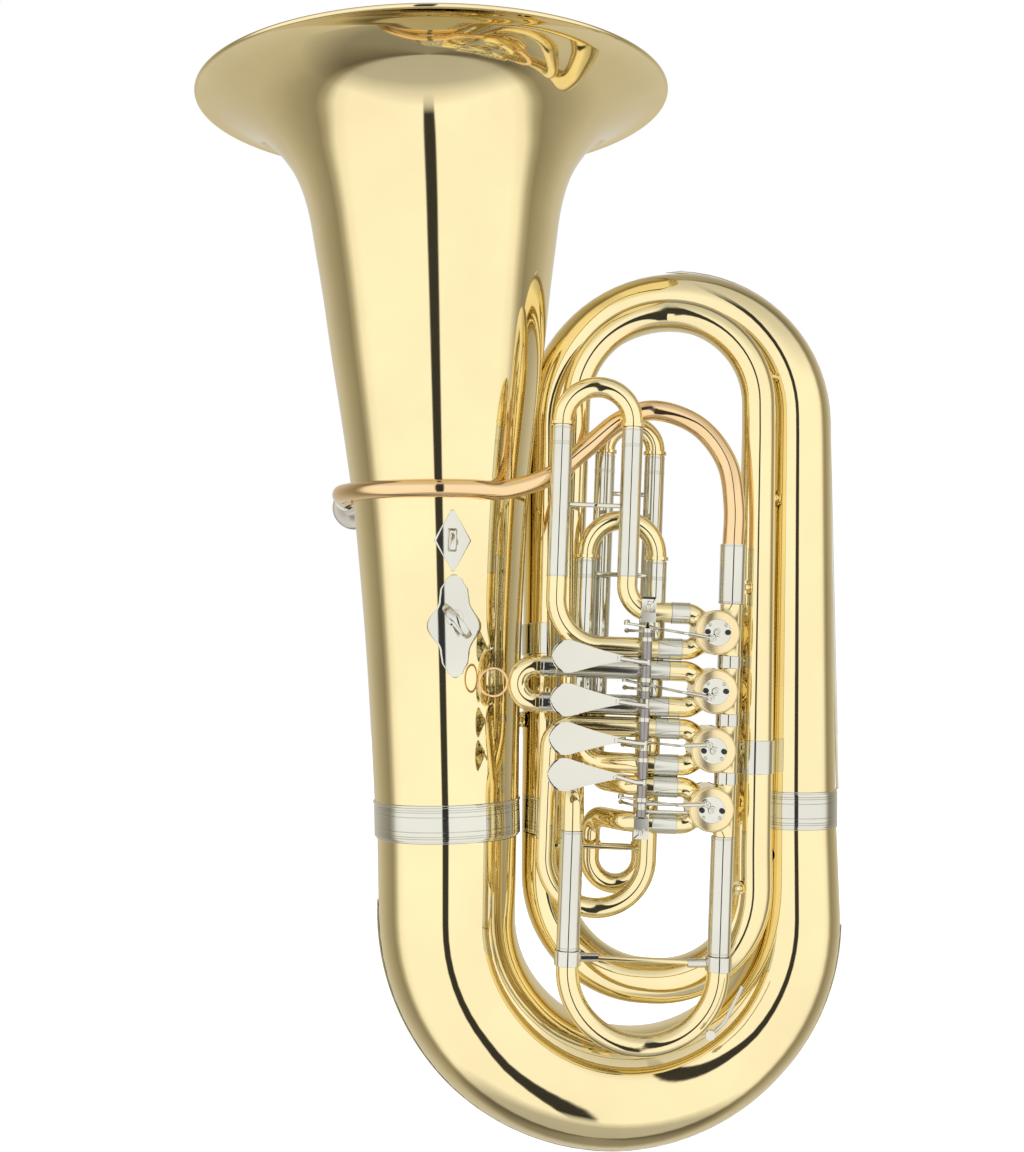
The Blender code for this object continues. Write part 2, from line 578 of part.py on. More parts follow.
def water_key():
    """A rocking lever on the tuning bow with its pad over the drain nipple."""
    pivot = leaned(207.0, -100.5, 150.0)
    tip = leaned(222.0, -103.0, 183.0)
    pad = leaned(194.0, -99.0, 137.0)
    key = bar(pivot + Vector((0, -2.2, 0)), tip, 1.7, 8, "water_key")
    tail = bar(pivot + Vector((0, -2.2, 0)), pad + Vector((0, -3.0, 0)), 1.7, 8)
    cup = bar(pad + Vector((0, -5.0, 0)), pad + Vector((0, -0.5, 0)), 4.6, 14)
    joined(key, tail, cup)


def bell_plates():
    """Thumb-ring plate and music-holder plate, soldered to the bell's front."""
    for name, height, half_w, half_h in (("holder_plate", 595.0, 17.0, 29.0), ("thumb_plate", 514.0, 27.0, 49.0)):
        radius = bell_radius(height - BELL_FOOT.z) + 2.4
        middle = BELL_FOOT.x - (height - BELL_FOOT.z) * math.tan(BELL_TILT)
        around = math.asin(14.5 / radius)
        mesh = bpy.data.meshes.new(name)
        form = bmesh.new()
        rows = []
        for i in range(9):
            share = i / 8 * 2 - 1
            if name == "holder_plate":
                wide = half_w * (1 - abs(share)) + 1.2
            else:
                wide = half_w * (0.18 + 0.82 * math.cos(share * math.pi / 2) ** 0.8)
            z = height + share * half_h
            r = bell_radius(z - BELL_FOOT.z) + 1.7
            shift = BELL_FOOT.x - (z - BELL_FOOT.z) * math.tan(BELL_TILT)
            row = []
            for j in range(5):
                turn = around + (j / 2 - 1) * wide / radius
                row.append(form.verts.new(world((shift + r * math.sin(turn), -r * math.cos(turn), z))))
            rows.append(row)
        for row, following in zip(rows, rows[1:]):
            for a, b, c, d in zip(row, row[1:], following[1:], following):
                form.faces.new((a, b, c, d))
        bmesh.ops.recalc_face_normals(form, faces=form.faces)
        face = form.faces[0]
        if face.normal.y > 0:
            bmesh.ops.reverse_faces(form, faces=form.faces)
        form.to_mesh(mesh)
        form.free()
        piece = place(name, mesh, "nickel", NICKEL)
        sheet = piece.modifiers.new("Sheet", "SOLIDIFY")
        sheet.thickness = 1.0 * MM
        sheet.offset = 1.0
        if name == "thumb_plate":
            front = Vector((middle + radius * math.sin(around), -radius * math.cos(around), height + 4))
            thumb_ring(front)


def thumb_ring(front):
    """An open ring on a short stem, seen nearly edge-on from the front."""
    out = Vector((0.16, -0.98, 0.0)).normalized()
    centre = front + out * 16.0
    lie = Vector((0.62, -0.08, -0.78)).normalized()
    bore = lie.cross(out).normalized()
    mesh = bpy.data.meshes.new("thumb_ring")
    form = bmesh.new()
    rings = []
    for i in range(20):
        a = 2 * math.pi * i / 20
        radial = lie * math.cos(a) * 1.35 + out * math.sin(a)
        corners = ((13.2, -3.4), (14.6, -3.4), (14.6, 3.4), (13.2, 3.4))
        rings.append([form.verts.new(world(centre + radial * r * 0.95 + bore * h)) for r, h in corners])
    for ring, following in zip(rings, [*rings[1:], rings[0]]):
        for k in range(4):
            form.faces.new((ring[k], ring[(k + 1) % 4], following[(k + 1) % 4], following[k]))
    bmesh.ops.recalc_face_normals(form, faces=form.faces)
    form.to_mesh(mesh)
    form.free()
    place("thumb_ring", mesh, "nickel", NICKEL)


def brace(name, start, end, start_r, end_r, radius=2.8, foot=6.5):
    """A stay between two tubes, with a round foot at each end, that stops just clear of their walls."""
    start, end = Vector(start), Vector(end)
    way = (end - start).normalized()
    a, b = start + way * (start_r + GAP + 0.3), end - way * (end_r + GAP + 0.3)
    stay = bar(a + way * 0.8, b - way * 0.8, radius, 10, name, "lacquered_brass", BRASS)
    joined(stay, bar(a, a + way * 1.6, foot, 12), bar(b - way * 1.6, b, foot, 12))


def braces():
    main = leaned(MAIN_X, PORT_Y, 552)
    brace("valve_brace_upper", main, (236.0, -50, main.z), 12.3, 17.6)
    main = leaned(201.8, PORT_Y, 266)
    brace("valve_brace_lower", main, (230.3, -50, main.z), 11.3, 20.4)
    brace("branch_brace_upper", (238.0, -50, 640), (283.2, 0, 640), 17.0, 37.4, 3.2, 8)
    brace("branch_brace_lower", (230.3, -50, 292), (278.4, 0, 292), 20.2, 45.5, 3.2, 8)
    brace("bell_brace", (-67.7, 0, 420), (35.6, 30, 420), 75.8, 25.2, 3.2, 8)


def pull_ring():
    """The round wire ring on the second slide's bow."""
    centre = leaned(-18.6, -92.5, 453.6)
    form = bmesh.new()
    rings = []
    for i in range(20):
        a = 2 * math.pi * i / 20
        radial = Vector((math.cos(a), 0.12 * math.cos(a), math.sin(a)))
        rings.append([form.verts.new(world(centre + radial * (13.0 + 1.5 * math.cos(b)) + Vector((0, 1, 0)) * 1.5
                                           * math.sin(b))) for b in (2 * math.pi * j / 6 for j in range(6))])
    for ring, following in zip(rings, [*rings[1:], rings[0]]):
        for k in range(6):
            form.faces.new((ring[k], ring[(k + 1) % 6], following[(k + 1) % 6], following[k]))
    bmesh.ops.recalc_face_normals(form, faces=form.faces)
    mesh = bpy.data.meshes.new("pull_ring")
    form.to_mesh(mesh)
    form.free()
    place("pull_ring", mesh, "rose_brass", ROSE)


for old in list(bpy.data.objects):
    bpy.data.objects.remove(old)
PIECES = collection("Tuba")
bugle()
leadpipe()
ring_on("leadpipe_receiver", leaned(MAIN_X, PORT_Y, 535.6), UP, 56.0, 12.0, 1.4)
for count, centre_z in enumerate(VALVE_Z, 1):
    valve(count, centre_z)
    rod(count, centre_z)
    lever(count, centre_z)
rack()
valve_loops()
slides()
water_key()
bell_plates()
braces()
pull_ring()
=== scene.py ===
"""The looks of a four-valve rotary tuba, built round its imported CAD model.

The tubing is made again from the same routes as the CAD, with a fine surface and procedural finishes,
and the small fittings are added. Lengths are in millimetres until they reach Blender.
"""

import json
import math

import bmesh
import bpy
from mathutils import Matrix, Vector

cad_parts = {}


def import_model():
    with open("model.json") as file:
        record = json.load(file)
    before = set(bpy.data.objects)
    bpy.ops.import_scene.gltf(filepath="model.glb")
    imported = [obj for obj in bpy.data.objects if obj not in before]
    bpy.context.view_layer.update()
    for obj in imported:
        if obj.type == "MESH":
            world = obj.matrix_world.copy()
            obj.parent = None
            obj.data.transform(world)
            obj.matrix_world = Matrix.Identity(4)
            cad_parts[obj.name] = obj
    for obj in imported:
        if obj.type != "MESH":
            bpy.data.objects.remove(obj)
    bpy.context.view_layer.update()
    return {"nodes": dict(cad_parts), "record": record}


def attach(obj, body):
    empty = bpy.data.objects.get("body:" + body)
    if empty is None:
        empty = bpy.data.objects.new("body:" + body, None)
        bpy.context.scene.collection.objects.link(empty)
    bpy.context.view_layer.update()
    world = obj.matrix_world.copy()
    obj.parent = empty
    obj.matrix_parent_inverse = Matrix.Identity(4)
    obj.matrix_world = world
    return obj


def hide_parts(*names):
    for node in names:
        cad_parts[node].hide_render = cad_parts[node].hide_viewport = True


MM = 0.001
DATUM_X = 107.0  # the plan point that stands over the origin, and how far the plan is raised
DATUM_Z = 2.6
LEAN = math.radians(2.2)  # of the whole valve section
LEAN_PIVOT = Vector((187.0, 0.0, 426.0))
GAP = 0.35  # between pieces that don't touch
FINE_TURN = 5.0  # degrees of a bend for each step
LONGEST_RUN = 30.0
SHARP = math.radians(38)
MERGE = 1e-6  # metres
BACK = Vector((0.0, 1.0, 0.0))
FRONT = Vector((0.0, -1.0, 0.0))
BRASS = "lacquered_brass"

# Bugle
BELL_TILT = math.radians(1.23)
BELL_AXIS = Vector((-math.sin(BELL_TILT), 0.0, math.cos(BELL_TILT)))
BELL_FOOT = Vector((-64.5, 0.0, 326.0))
BELL_HEIGHT = 721.0
BELL_RIM_R = 236.0
SHEET = 0.8
BOW_R = 171.5  # of the centre line
BOW_CENTRE = Vector((107.0, 0.0, 230.5))
BRANCH_FOOT = Vector((278.6, 0.0, 318.5))
LEADPIPE_Z = 645.0
LEADPIPE_R = 100.5
PLATE_X = 14.5
# The thumb plate's half width as a share, at shares of its half height.
PLATE_SHAPE = ((0.0, 1.0), (0.5, 0.54), (0.68, 0.50), (0.9, 0.30), (1.0, 0.07))
RING_OUT = Vector((0.16, -0.98, 0.0)).normalized()

# Valve section, before it leans
PORT_Y = -85.0
VALVE_X = 187.0
MAIN_X = 202.7
VALVE_Z = (508.0, 453.6, 399.2, 344.8)
PORT_DZ = 17.0  # each port lies this far above or below its valve's axis
PORT_REACH = 41.0
CASING_R = 20.5
BORE_R = 17.6
CASING_FRONT = -107.5
CASING_BACK = -62.5
TUBE_R = 9.6
SLIDE_LEG_R = 8.4
OUTER_R = 9.9
SLIM_OUTER_R = 9.7
OUTER_WALL = 1.0
# Where the two legs of each slide stand, how far back, and the mouths of their outer tubes.
FIRST_X = (37.5, 104.0)
FIRST_TOP = 698.0
THIRD_X = (66.0, 133.0)
THIRD_Y = -62.0
THIRD_TOP = 574.0
CROOK_X = 37.0
FOURTH_X = (81.5, 130.0)
FOURTH_Y = -38.0
FOURTH_TOP = 678.0
TUNING_X = (60.5, 201.8)
TUNING_TOP = 317.5
TUNING_R = 10.9

# Linkage
PIN_SIDE = 8.0 * math.sqrt(0.5)
AXLE_X = 122.7
AXLE_Y = -106.0
AXLE_R = 2.0
HUB_R = 4.2
# From the axle to the lever's ball.
BALL_OFFSET = Vector((-16.0, 42.0, 0.0))
PADDLE_Y = -124.0
PADDLE_Z = (481.0, 441.3, 406.0, 373.0)
PADDLE_TIP_X = 34.0
PADDLE_LENGTH = 66.0
ARM_DROP = (3.0, 3.0, 3.0, 6.0)
# Which way each valve's pin lies from its axis, then how far up each rod ends and where it bends.
PIN_SIGN = (-1, -1, 1, 1)
ROD_Y = -119.4
ROD_RISE = (5.8, 5.8, 3.4, 3.4)
ROD_KNEE = (0.35, 0.35, 0.9, 0.9)
BALL_DROP = 1.1

# Camera
CAMERA_AT = (-DATUM_X * MM, -1.5, 0.5120)
CAMERA_FOCAL = 1.46484375  # in sensor widths
CAMERA_UP = 2.1  # degrees


def leaned(x, y, z):
    """A valve-section point turned by the lean, in plan coordinates."""
    turn = Matrix.Rotation(LEAN, 3, "Y")
    return LEAN_PIVOT + turn @ (Vector((x, y, z)) - LEAN_PIVOT)


def world(point):
    """A plan point in metres from the origin."""
    return Vector((point[0] - DATUM_X, point[1], point[2] + DATUM_Z)) * MM


def collection(name):
    """A new collection in the scene."""
    made = bpy.data.collections.new(name)
    bpy.context.scene.collection.children.link(made)
    return made


def place(name, mesh, finish):
    """A new piece from a mesh, shaded smooth but for its sharp edges."""
    piece = bpy.data.objects.new(name + "_fine", mesh)
    PIECES.objects.link(piece)
    mesh.materials.clear()
    mesh.materials.append(FINISHES[finish])
    mesh.shade_smooth()
    mesh.set_sharp_from_angle(angle=SHARP)
    return piece


def face_out(form):
    """Turns all the faces the same way, outwards."""
    bmesh.ops.recalc_face_normals(form, faces=form.faces)


def evaluated(piece):
    """A new mesh of the piece as its modifiers or its bevel make it."""
    graph = bpy.context.evaluated_depsgraph_get()
    return bpy.data.meshes.new_from_object(piece.evaluated_get(graph))


def meshed(name, form):
    """A new mesh made from the form."""
    mesh = bpy.data.meshes.new(name)
    form.to_mesh(mesh)
    form.free()
    return mesh


def ring_faces(form, rings):
    """Faces between each ring of vertices and the next."""
    for ring, following in zip(rings, rings[1:]):
        for k in range(len(ring)):
            j = (k + 1) % len(ring)
            form.faces.new((ring[k], ring[j], following[j], following[k]))


def vertices(form, rows):
    """New vertices at rows of plan points."""
    return [[form.verts.new(world(corner)) for corner in row] for row in rows]


def band(name, rings, finish):
    """A closed ring-shaped piece through rings of corners."""
    form = bmesh.new()
    made = vertices(form, rings)
    ring_faces(form, [*made, made[0]])
    face_out(form)
    return place(name, meshed(name, form), finish)


def sheet(name, rows, thickness, outward):
    """A nickel sheet on rows of corners, thickened to the side that outward points to."""
    form = bmesh.new()
    made = vertices(form, rows)
    for row, following in zip(made, made[1:]):
        for a, b, c, d in zip(row, row[1:], following[1:], following):
            form.faces.new((a, b, c, d))
    face_out(form)
    if form.faces[0].normal.dot(outward) < 0:
        bmesh.ops.reverse_faces(form, faces=form.faces)
    piece = place(name, meshed(name, form), "nickel")
    solid = piece.modifiers.new("Sheet", "SOLIDIFY")
    solid.thickness = thickness * MM
    solid.offset = 1.0


def circle(steps):
    """The angles of a full turn in equal steps."""
    return [2 * math.pi * k / steps for k in range(steps)]


def split_runs(points, keys):
    """Adds points along the long straight runs, so that the shading stays true to them."""
    made, moved = [points[0]], {0: 0}
    for i, (before, after) in enumerate(zip(points, points[1:]), 1):
        pieces = max(1, round((after - before).length / LONGEST_RUN))
        made += [before.lerp(after, k / pieces) for k in range(1, pieces + 1)]
        moved[i] = len(made) - 1
    return made, [(moved[i], radius) for i, radius in keys]


def rounded_route(stops):
    """Points and radii along straight runs joined by fine arcs.

    A stop is (point, bend radius, tube radius); a bend radius of 0 is a plain corner or an end.
    """
    points, keys = [], []
    for i, (corner, bend, radius) in enumerate(stops):
        corner = Vector(corner)
        if bend == 0 or i in (0, len(stops) - 1):
            points.append(corner)
            keys.append((len(points) - 1, radius))
            continue
        back = (Vector(stops[i - 1][0]) - corner).normalized()
        ahead = (Vector(stops[i + 1][0]) - corner).normalized()
        turned = math.pi - back.angle(ahead)
        reach = bend * math.tan(turned / 2)
        centre = corner + (back + ahead).normalized() * (bend / math.cos(turned / 2))
        start = corner + back * reach
        steps = max(4, round(math.degrees(turned) / FINE_TURN))
        axis = (start - centre).cross(-back).normalized()
        first = len(points)
        for step in range(steps + 1):
            spin = Matrix.Rotation(turned * step / steps, 3, axis)
            point = centre + spin @ (start - centre)
            if not points or (point - points[-1]).length > 0.5:
                points.append(point)
        keys.append(((first + len(points) - 1) // 2, radius))
    points, keys = split_runs(points, keys)
    lengths = [0.0]
    for before, after in zip(points, points[1:]):
        lengths.append(lengths[-1] + (after - before).length)
    radii = []
    for i, length in enumerate(lengths):
        low = max((k for k in keys if k[0] <= i), key=lambda k: k[0])
        high = min((k for k in keys if k[0] >= i), key=lambda k: k[0])
        span = lengths[high[0]] - lengths[low[0]]
        share = (length - lengths[low[0]]) / span if span else 0.0
        radii.append(low[1] + share * (high[1] - low[1]))
    return points, radii


def smooth_route(points, per_span=8):
    """Points on a Catmull-Rom curve through the given ones."""
    points = [Vector(p) for p in points]
    ends = [2 * points[0] - points[1], *points, 2 * points[-1] - points[-2]]
    made = []
    for a, b, c, d in zip(ends, ends[1:], ends[2:], ends[3:]):
        for step in range(per_span):
            t = step / per_span
            made.append(
                0.5 * (2 * b + (c - a) * t + (2 * a - 5 * b + 4 * c - d) * t**2 + (3 * b - a - 3 * c + d) * t**3)
            )
    return [*made, points[-1]]


def fine_sides(radius):
    """Enough flat sides for a round tube of this radius to look round, up to the most a curve can have."""
    return 20 if radius < 6 else 40 if radius < 20 else 68


def tube_mesh(name, points, radii, sides, capped):
    """The mesh of a round tube through the points. The number of sides is even."""
    curve = bpy.data.curves.new(name, "CURVE")
    curve.dimensions = "3D"
    curve.bevel_depth = MM
    curve.bevel_resolution = sides // 2 - 2
    curve.use_fill_caps = capped
    line = curve.splines.new("POLY")
    line.points.add(len(points) - 1)
    for knot, point, radius in zip(line.points, points, radii):
        knot.co = (*world(point), 1.0)
        knot.radius = radius
    guide = bpy.data.objects.new(name, curve)
    PIECES.objects.link(guide)
    mesh = evaluated(guide)
    bpy.data.objects.remove(guide)
    bpy.data.curves.remove(curve)
    form = bmesh.new()
    form.from_mesh(mesh)
    bmesh.ops.remove_doubles(form, verts=form.verts, dist=MERGE)
    face_out(form)
    if not capped:
        middle = form.faces[0].calc_center_median()
        nearest = min((world(p) for p in points), key=lambda p: (p - middle).length)
        if form.faces[0].normal.dot(middle - nearest) < 0:
            bmesh.ops.reverse_faces(form, faces=form.faces)
    form.to_mesh(mesh)
    form.free()
    return mesh


def tube(name, points, radii, finish, wall=None, bore=None):
    """A tube with its wall inside the given radii, or one plain bore, or a solid bar if neither is given."""
    if not isinstance(radii, (list, tuple)):
        radii = [radii] * len(points)
    sides = fine_sides(max(radii))
    mesh = tube_mesh(name, points, radii, sides, wall is None and bore is None)
    if wall is not None or bore is not None:
        lining = tube_mesh(name, points, [bore or r - wall for r in radii], sides, False)
        form = bmesh.new()
        form.from_mesh(lining)
        bmesh.ops.reverse_faces(form, faces=form.faces)
        form.from_mesh(mesh)
        for end in (world(points[0]), world(points[-1])):
            near = sorted((e for e in form.edges if e.is_boundary),
                          key=lambda e: (e.verts[0].co - end).length)[:2 * sides]
            bmesh.ops.bridge_loops(form, edges=near)
        face_out(form)
        form.to_mesh(mesh)
        form.free()
    return place(name, mesh, finish)


def turned(name, profile, base, direction, finish, steps=64):
    """A turned piece: (radius, height) points down the outer side, standing at base along direction."""
    mesh = bpy.data.meshes.new(name)
    corners = [(radius * MM, 0.0, height * MM) for radius, height in profile]
    closed = profile[0][0] > 0 and profile[-1][0] > 0
    edges = [(i, i + 1) for i in range(len(corners) - 1)]
    if closed:
        edges.append((len(corners) - 1, 0))
    mesh.from_pydata(corners, edges, [])
    guide = bpy.data.objects.new(name, mesh)
    PIECES.objects.link(guide)
    screw = guide.modifiers.new("Turn", "SCREW")
    screw.steps = screw.render_steps = steps
    screw.use_merge_vertices = True
    screw.merge_threshold = 1e-5
    solid = evaluated(guide)
    bpy.data.objects.remove(guide)
    form = bmesh.new()
    form.from_mesh(solid)
    bmesh.ops.remove_doubles(form, verts=form.verts, dist=MERGE)
    face_out(form)
    turn = Vector(direction).to_track_quat("Z", "Y").to_matrix().to_4x4()
    form.transform(Matrix.Translation(world(base)) @ turn)
    form.to_mesh(solid)
    form.free()
    return place(name, solid, finish)


def boolean(piece, other, operation):
    """Joins the other mesh to the piece or cuts it away, and removes the other object."""
    change = piece.modifiers.new(operation.title(), "BOOLEAN")
    change.operation = operation
    change.object = other
    mesh = evaluated(piece)
    piece.modifiers.clear()
    piece.data = mesh
    bpy.data.objects.remove(other)
    return piece


def joined(piece, *others):
    """The piece with the others made part of it."""
    for other in others:
        boolean(piece, other, "UNION")
    return piece


def cut(piece, *others):
    """The piece with the others taken out of it."""
    for other in others:
        boolean(piece, other, "DIFFERENCE")
    return piece


def bar(start, end, radius, name="helper", finish="nickel"):
    """A solid round bar."""
    return tube(name, [Vector(start), Vector(end)], radius, finish)


def bell_radius(height):
    """The bell's outer radius at a height above its foot, on a smooth curve through its knots."""
    knots = ((-60, 66.0), (-18, 69.5), (0, 71.0), (85, 73.9), (170, 77.5), (270, 84.0), (320, 88.5), (390, 97.0),
             (460, 106.5), (520, 114.0), (560, 119.8), (610, 128.0), (645, 140.0), (672, 158.0), (692, 178.0),
             (705, 199.0), (715, 224.0), (719, 245.0))
    for (a, ra), (b, rb), (c, rc), (d, rd) in zip(knots, knots[1:], knots[2:], knots[3:]):
        if height <= c:
            t = (height - b) / (c - b)
            rise_b, rise_c = (rc - ra) / (c - a) * (c - b), (rd - rb) / (d - b) * (c - b)
            return ((2 * t**3 - 3 * t**2 + 1) * rb + (t**3 - 2 * t**2 + t) * rise_b
                    + (3 * t**2 - 2 * t**3) * rc + (t**3 - t**2) * rise_c)
    return BELL_RIM_R


def bell_centre(height):
    """The point on the bell's axis at a height."""
    return Vector((BELL_FOOT.x - (height - BELL_FOOT.z) * math.tan(BELL_TILT), 0.0, height))


def bell():
    """The bell with its rolled rim."""
    heights = [712.5 - 729.5 * (i / 110) ** 1.55 for i in range(111)]
    rim = [(BELL_RIM_R - 4.5 + 2.6 * math.cos(a), BELL_HEIGHT - 2.4 + 2.4 * math.sin(a))
           for a in (math.radians(d) for d in range(150, -121, -15))]
    rim = [(r + 2.6, h) for r, h in rim]
    outside = [(bell_radius(h), h) for h in heights]
    inside = [(bell_radius(h) - SHEET, h + (SHEET if h > 640 else 0)) for h in reversed(heights)]
    inside[0] = (inside[0][0], heights[-1])
    turned("bell", [*rim, *outside, *inside], BELL_FOOT, BELL_AXIS, BRASS, 160)


def ring_on(name, base, direction, length, radius, wall):
    """A plain nickel sleeve round a tube."""
    inner = radius - wall
    profile = [(inner, length), (radius, length), (radius, 0.0), (inner, 0.0)]
    turned(name, profile, base, direction, "nickel")


def garland(name, base, direction, length, radius, wall):
    """A nickel sleeve with three engraved lines near each edge."""
    profile = [(radius - wall, length), (radius - 0.3, length), (radius, length - 0.4)]
    for at in (length - 3.0, length - 5.0, length - 9.5, 9.5, 5.0, 3.0):
        profile += [(radius, at + 0.45), (radius - 0.45, at), (radius, at - 0.45)]
    profile += [(radius, 0.4), (radius - 0.3, 0.0), (radius - wall, 0.0)]
    turned(name, profile, base, direction, "nickel", 128)


def large_bow():
    """The widest tube, from the bell's foot round to the outer branch."""
    left, right = BELL_FOOT.x, 2 * BOW_R + BELL_FOOT.x
    low = BOW_CENTRE.z - BOW_R
    stops = [((left, 0, 307.5), 0, 69.2), ((left, 0, low), BOW_R, 65.0), ((107.0, 0, low), 0, 59.0),
             ((right, 0, low), BOW_R, 50.5), ((right, 0, 334.5), 0, 42.6)]
    points, radii = rounded_route(stops)
    tube("bottom_bow", points, radii, BRASS, SHEET)


def bow_guard():
    """A strip along the outer back of the bow, from the bell side round to the branch side."""
    rows = []
    first, last, steps = 177, 357, 90
    knots = ((170, 68.0), (180, 67.7), (225, 65.0), (270, 59.0), (315, 50.5), (360, 46.0))
    for i in range(steps + 1):
        degrees = first + (last - first) * i / steps
        low = max(k for k in knots if k[0] <= degrees)
        high = min(k for k in knots if k[0] > degrees)
        bow_r = low[1] + (high[1] - low[1]) * (degrees - low[0]) / (high[0] - low[0])
        around = math.radians(degrees)
        out = Vector((math.cos(around), 0.0, math.sin(around)))
        centre = BOW_CENTRE + out * BOW_R
        rows.append([centre + (out * math.cos(a) + BACK * math.sin(a)) * (bow_r + 1.1)
                     for a in (math.radians(d) for d in range(-6, 51, 4))])
    sheet("bottom_bow_guard", rows, SHEET, rows[0][0] - BOW_CENTRE)


def bugle():
    """The bell and the conical tubing from it back to the main tuning slide."""
    bell()
    garland("bell_garland", BELL_FOOT - BELL_AXIS * 17, BELL_AXIS, 33.0, 72.4, 1.4)
    large_bow()
    bow_guard()
    garland("outer_garland", BRANCH_FOOT, Vector((0.01, 0, 1)), 33.0, 44.1, 1.0)

    outer = [((278.6, 0, 335.2), 0, 42.6), ((283.5, 0, 700), 0, 36.0), ((284.5, 4, 845), 124, 33.0),
             ((161, 25, 845), 0, 29.0), ((37.5, 56, 845), 124, 27.0), ((38.5, 58, 700), 0, 26.0),
             ((36.5, 38, 500), 0, 25.0)]
    tube("outer_branch", *rounded_route(outer), BRASS, SHEET)

    low = [((36.5, 37.9, 499.3), 0, 25.0), ((33.5, 15, 274), 0, 24.0), ((33.5, 13, 167.5), 98.4, 23.5),
           ((132, -17, 167.5), 0, 22.0), ((230.3, -48, 167.5), 98.4, 20.5), ((230.3, -50, 300), 0, 19.6),
           ((232.4, -50, 388.7), 0, 18.9)]
    tube("second_bottom_bow", *rounded_route(low), BRASS, SHEET)

    mouth = leaned(TUNING_X[0], PORT_Y, 318.0)
    inner = [((232.5, -50, 389.3), 0, 18.8), ((239.6, -50, 700), 0, 16.2), ((240, -50, 818.2), 88, 15.8),
             ((151.8, -44, 818.2), 0, 15.2), ((64, -38, 818.2), 88, 14.2), ((63, -37, 730), 0, 13.6),
             ((59.5, -31, 610), 0, 12.8), ((56.8, -30, 396), 50, 11.8), ((57.2, PORT_Y, 352), 30, 11.0),
             (mouth, 0, 10.6)]
    tube("inner_branch", *rounded_route(inner), BRASS, SHEET)


def leadpipe():
    """The leadpipe hugs the bell, crosses to the valves and turns down into its nickel receiver."""
    centre = bell_centre(LEADPIPE_Z)
    hugging = [centre + Vector((math.cos(a), math.sin(a), 0.0)) * LEADPIPE_R + Vector((0, 0, 2.0 * math.sin(a)))
               for a in (math.radians(d) for d in (180, 202, 225, 248, 270, 290, 310))]
    start = centre + Vector((-LEADPIPE_R, 44.0, -1.0))
    cross = [leaned(*p) for p in ((28.0, -66.0, 652.0), (60.0, -62.5, 679.0), (93.0, -62.5, 708.0),
                                  (127.0, -62.5, 719.5), (168.0, -63.5, 706.0), (195.0, -72.0, 672.0),
                                  (MAIN_X, -82.0, 630.0), (MAIN_X, PORT_Y, 590.0))]
    route = smooth_route([start, start - BACK * 22, *hugging, *cross])
    radii = [8.0 + 2.2 * i / (len(route) - 1) for i in range(len(route))]
    tube("leadpipe", route, radii, "rose_brass")
    ring_on("mouthpiece_receiver", start - BACK * 1.5, BACK, 34.0, 10.4, 1.9)
    profile = [(12.0, 92), (22.5, 92), (24.0, 90), (24.0, 88), (22.0, 85.5), (20.0, 78), (17.5, 68), (12.0, 60),
               (7.6, 52), (7.0, 36), (8.0, 34), (8.0, 10), (5.5, 10), (5.5, 50), (8.0, 66), (12.5, 76), (15.0, 88)]
    turned("mouthpiece", profile, start + BACK, BACK, "silver")


def u_slide(name, first, second, outward, insert, reach, bow_r, leg_r=SLIDE_LEG_R, ring_r=11.2):
    """A U-shaped slide: two legs that stand in the mouths first and second, and a bow beyond them."""
    bend = (second - first).length / 2
    top_a, top_b = (p + outward * (reach + bend) for p in (first, second))
    near = [(-insert, leg_r), (0.5, leg_r), (0.9, ring_r), (4.0, ring_r), (4.4, bow_r)]
    stops = [(first + outward * at, 0, r) for at, r in near]
    stops += [(top_a, bend, bow_r), (top_b, bend, bow_r)]
    stops += [(second + outward * at, 0, r) for at, r in reversed(near)]
    points, radii = rounded_route(stops)
    tube(name, points, radii, BRASS, bore=leg_r - 0.8)


UP = leaned(0, 0, 1) - leaned(0, 0, 0)
LEFT = leaned(-1, 0, 0) - leaned(0, 0, 0)


def outer_tube(name, mouth, end, radius=OUTER_R):
    """A nickel tube that a slide's leg runs in."""
    return tube(name, [leaned(*mouth), leaned(*end)], radius, "nickel", OUTER_WALL)


def outer_pair(name, mouths, ends, stay_at, radius=OUTER_R):
    """Two outer slide tubes soldered to the stay between them, as one piece."""
    first, second = (outer_tube(name if i == 0 else "helper", mouths[i], ends[i], radius) for i in (0, 1))
    across = (Vector(stay_at[1]) - Vector(stay_at[0])).normalized() * (radius - OUTER_WALL / 2)
    stay = bar(leaned(*(Vector(stay_at[0]) + across)), leaned(*(Vector(stay_at[1]) - across)), 2.2)
    joined(first, second, stay)


def loop(name, *stops):
    """Brass tubing through (x, y, z, bend radius) stops of the valve section."""
    route = [(leaned(*stop[:3]), stop[3] if len(stop) > 3 else 0, TUBE_R) for stop in stops]
    return tube(name, *rounded_route(route), BRASS, SHEET)


def level(across, y, z):
    """Points at one depth and height, one for each place across."""
    return [(x, y, z) for x in across]


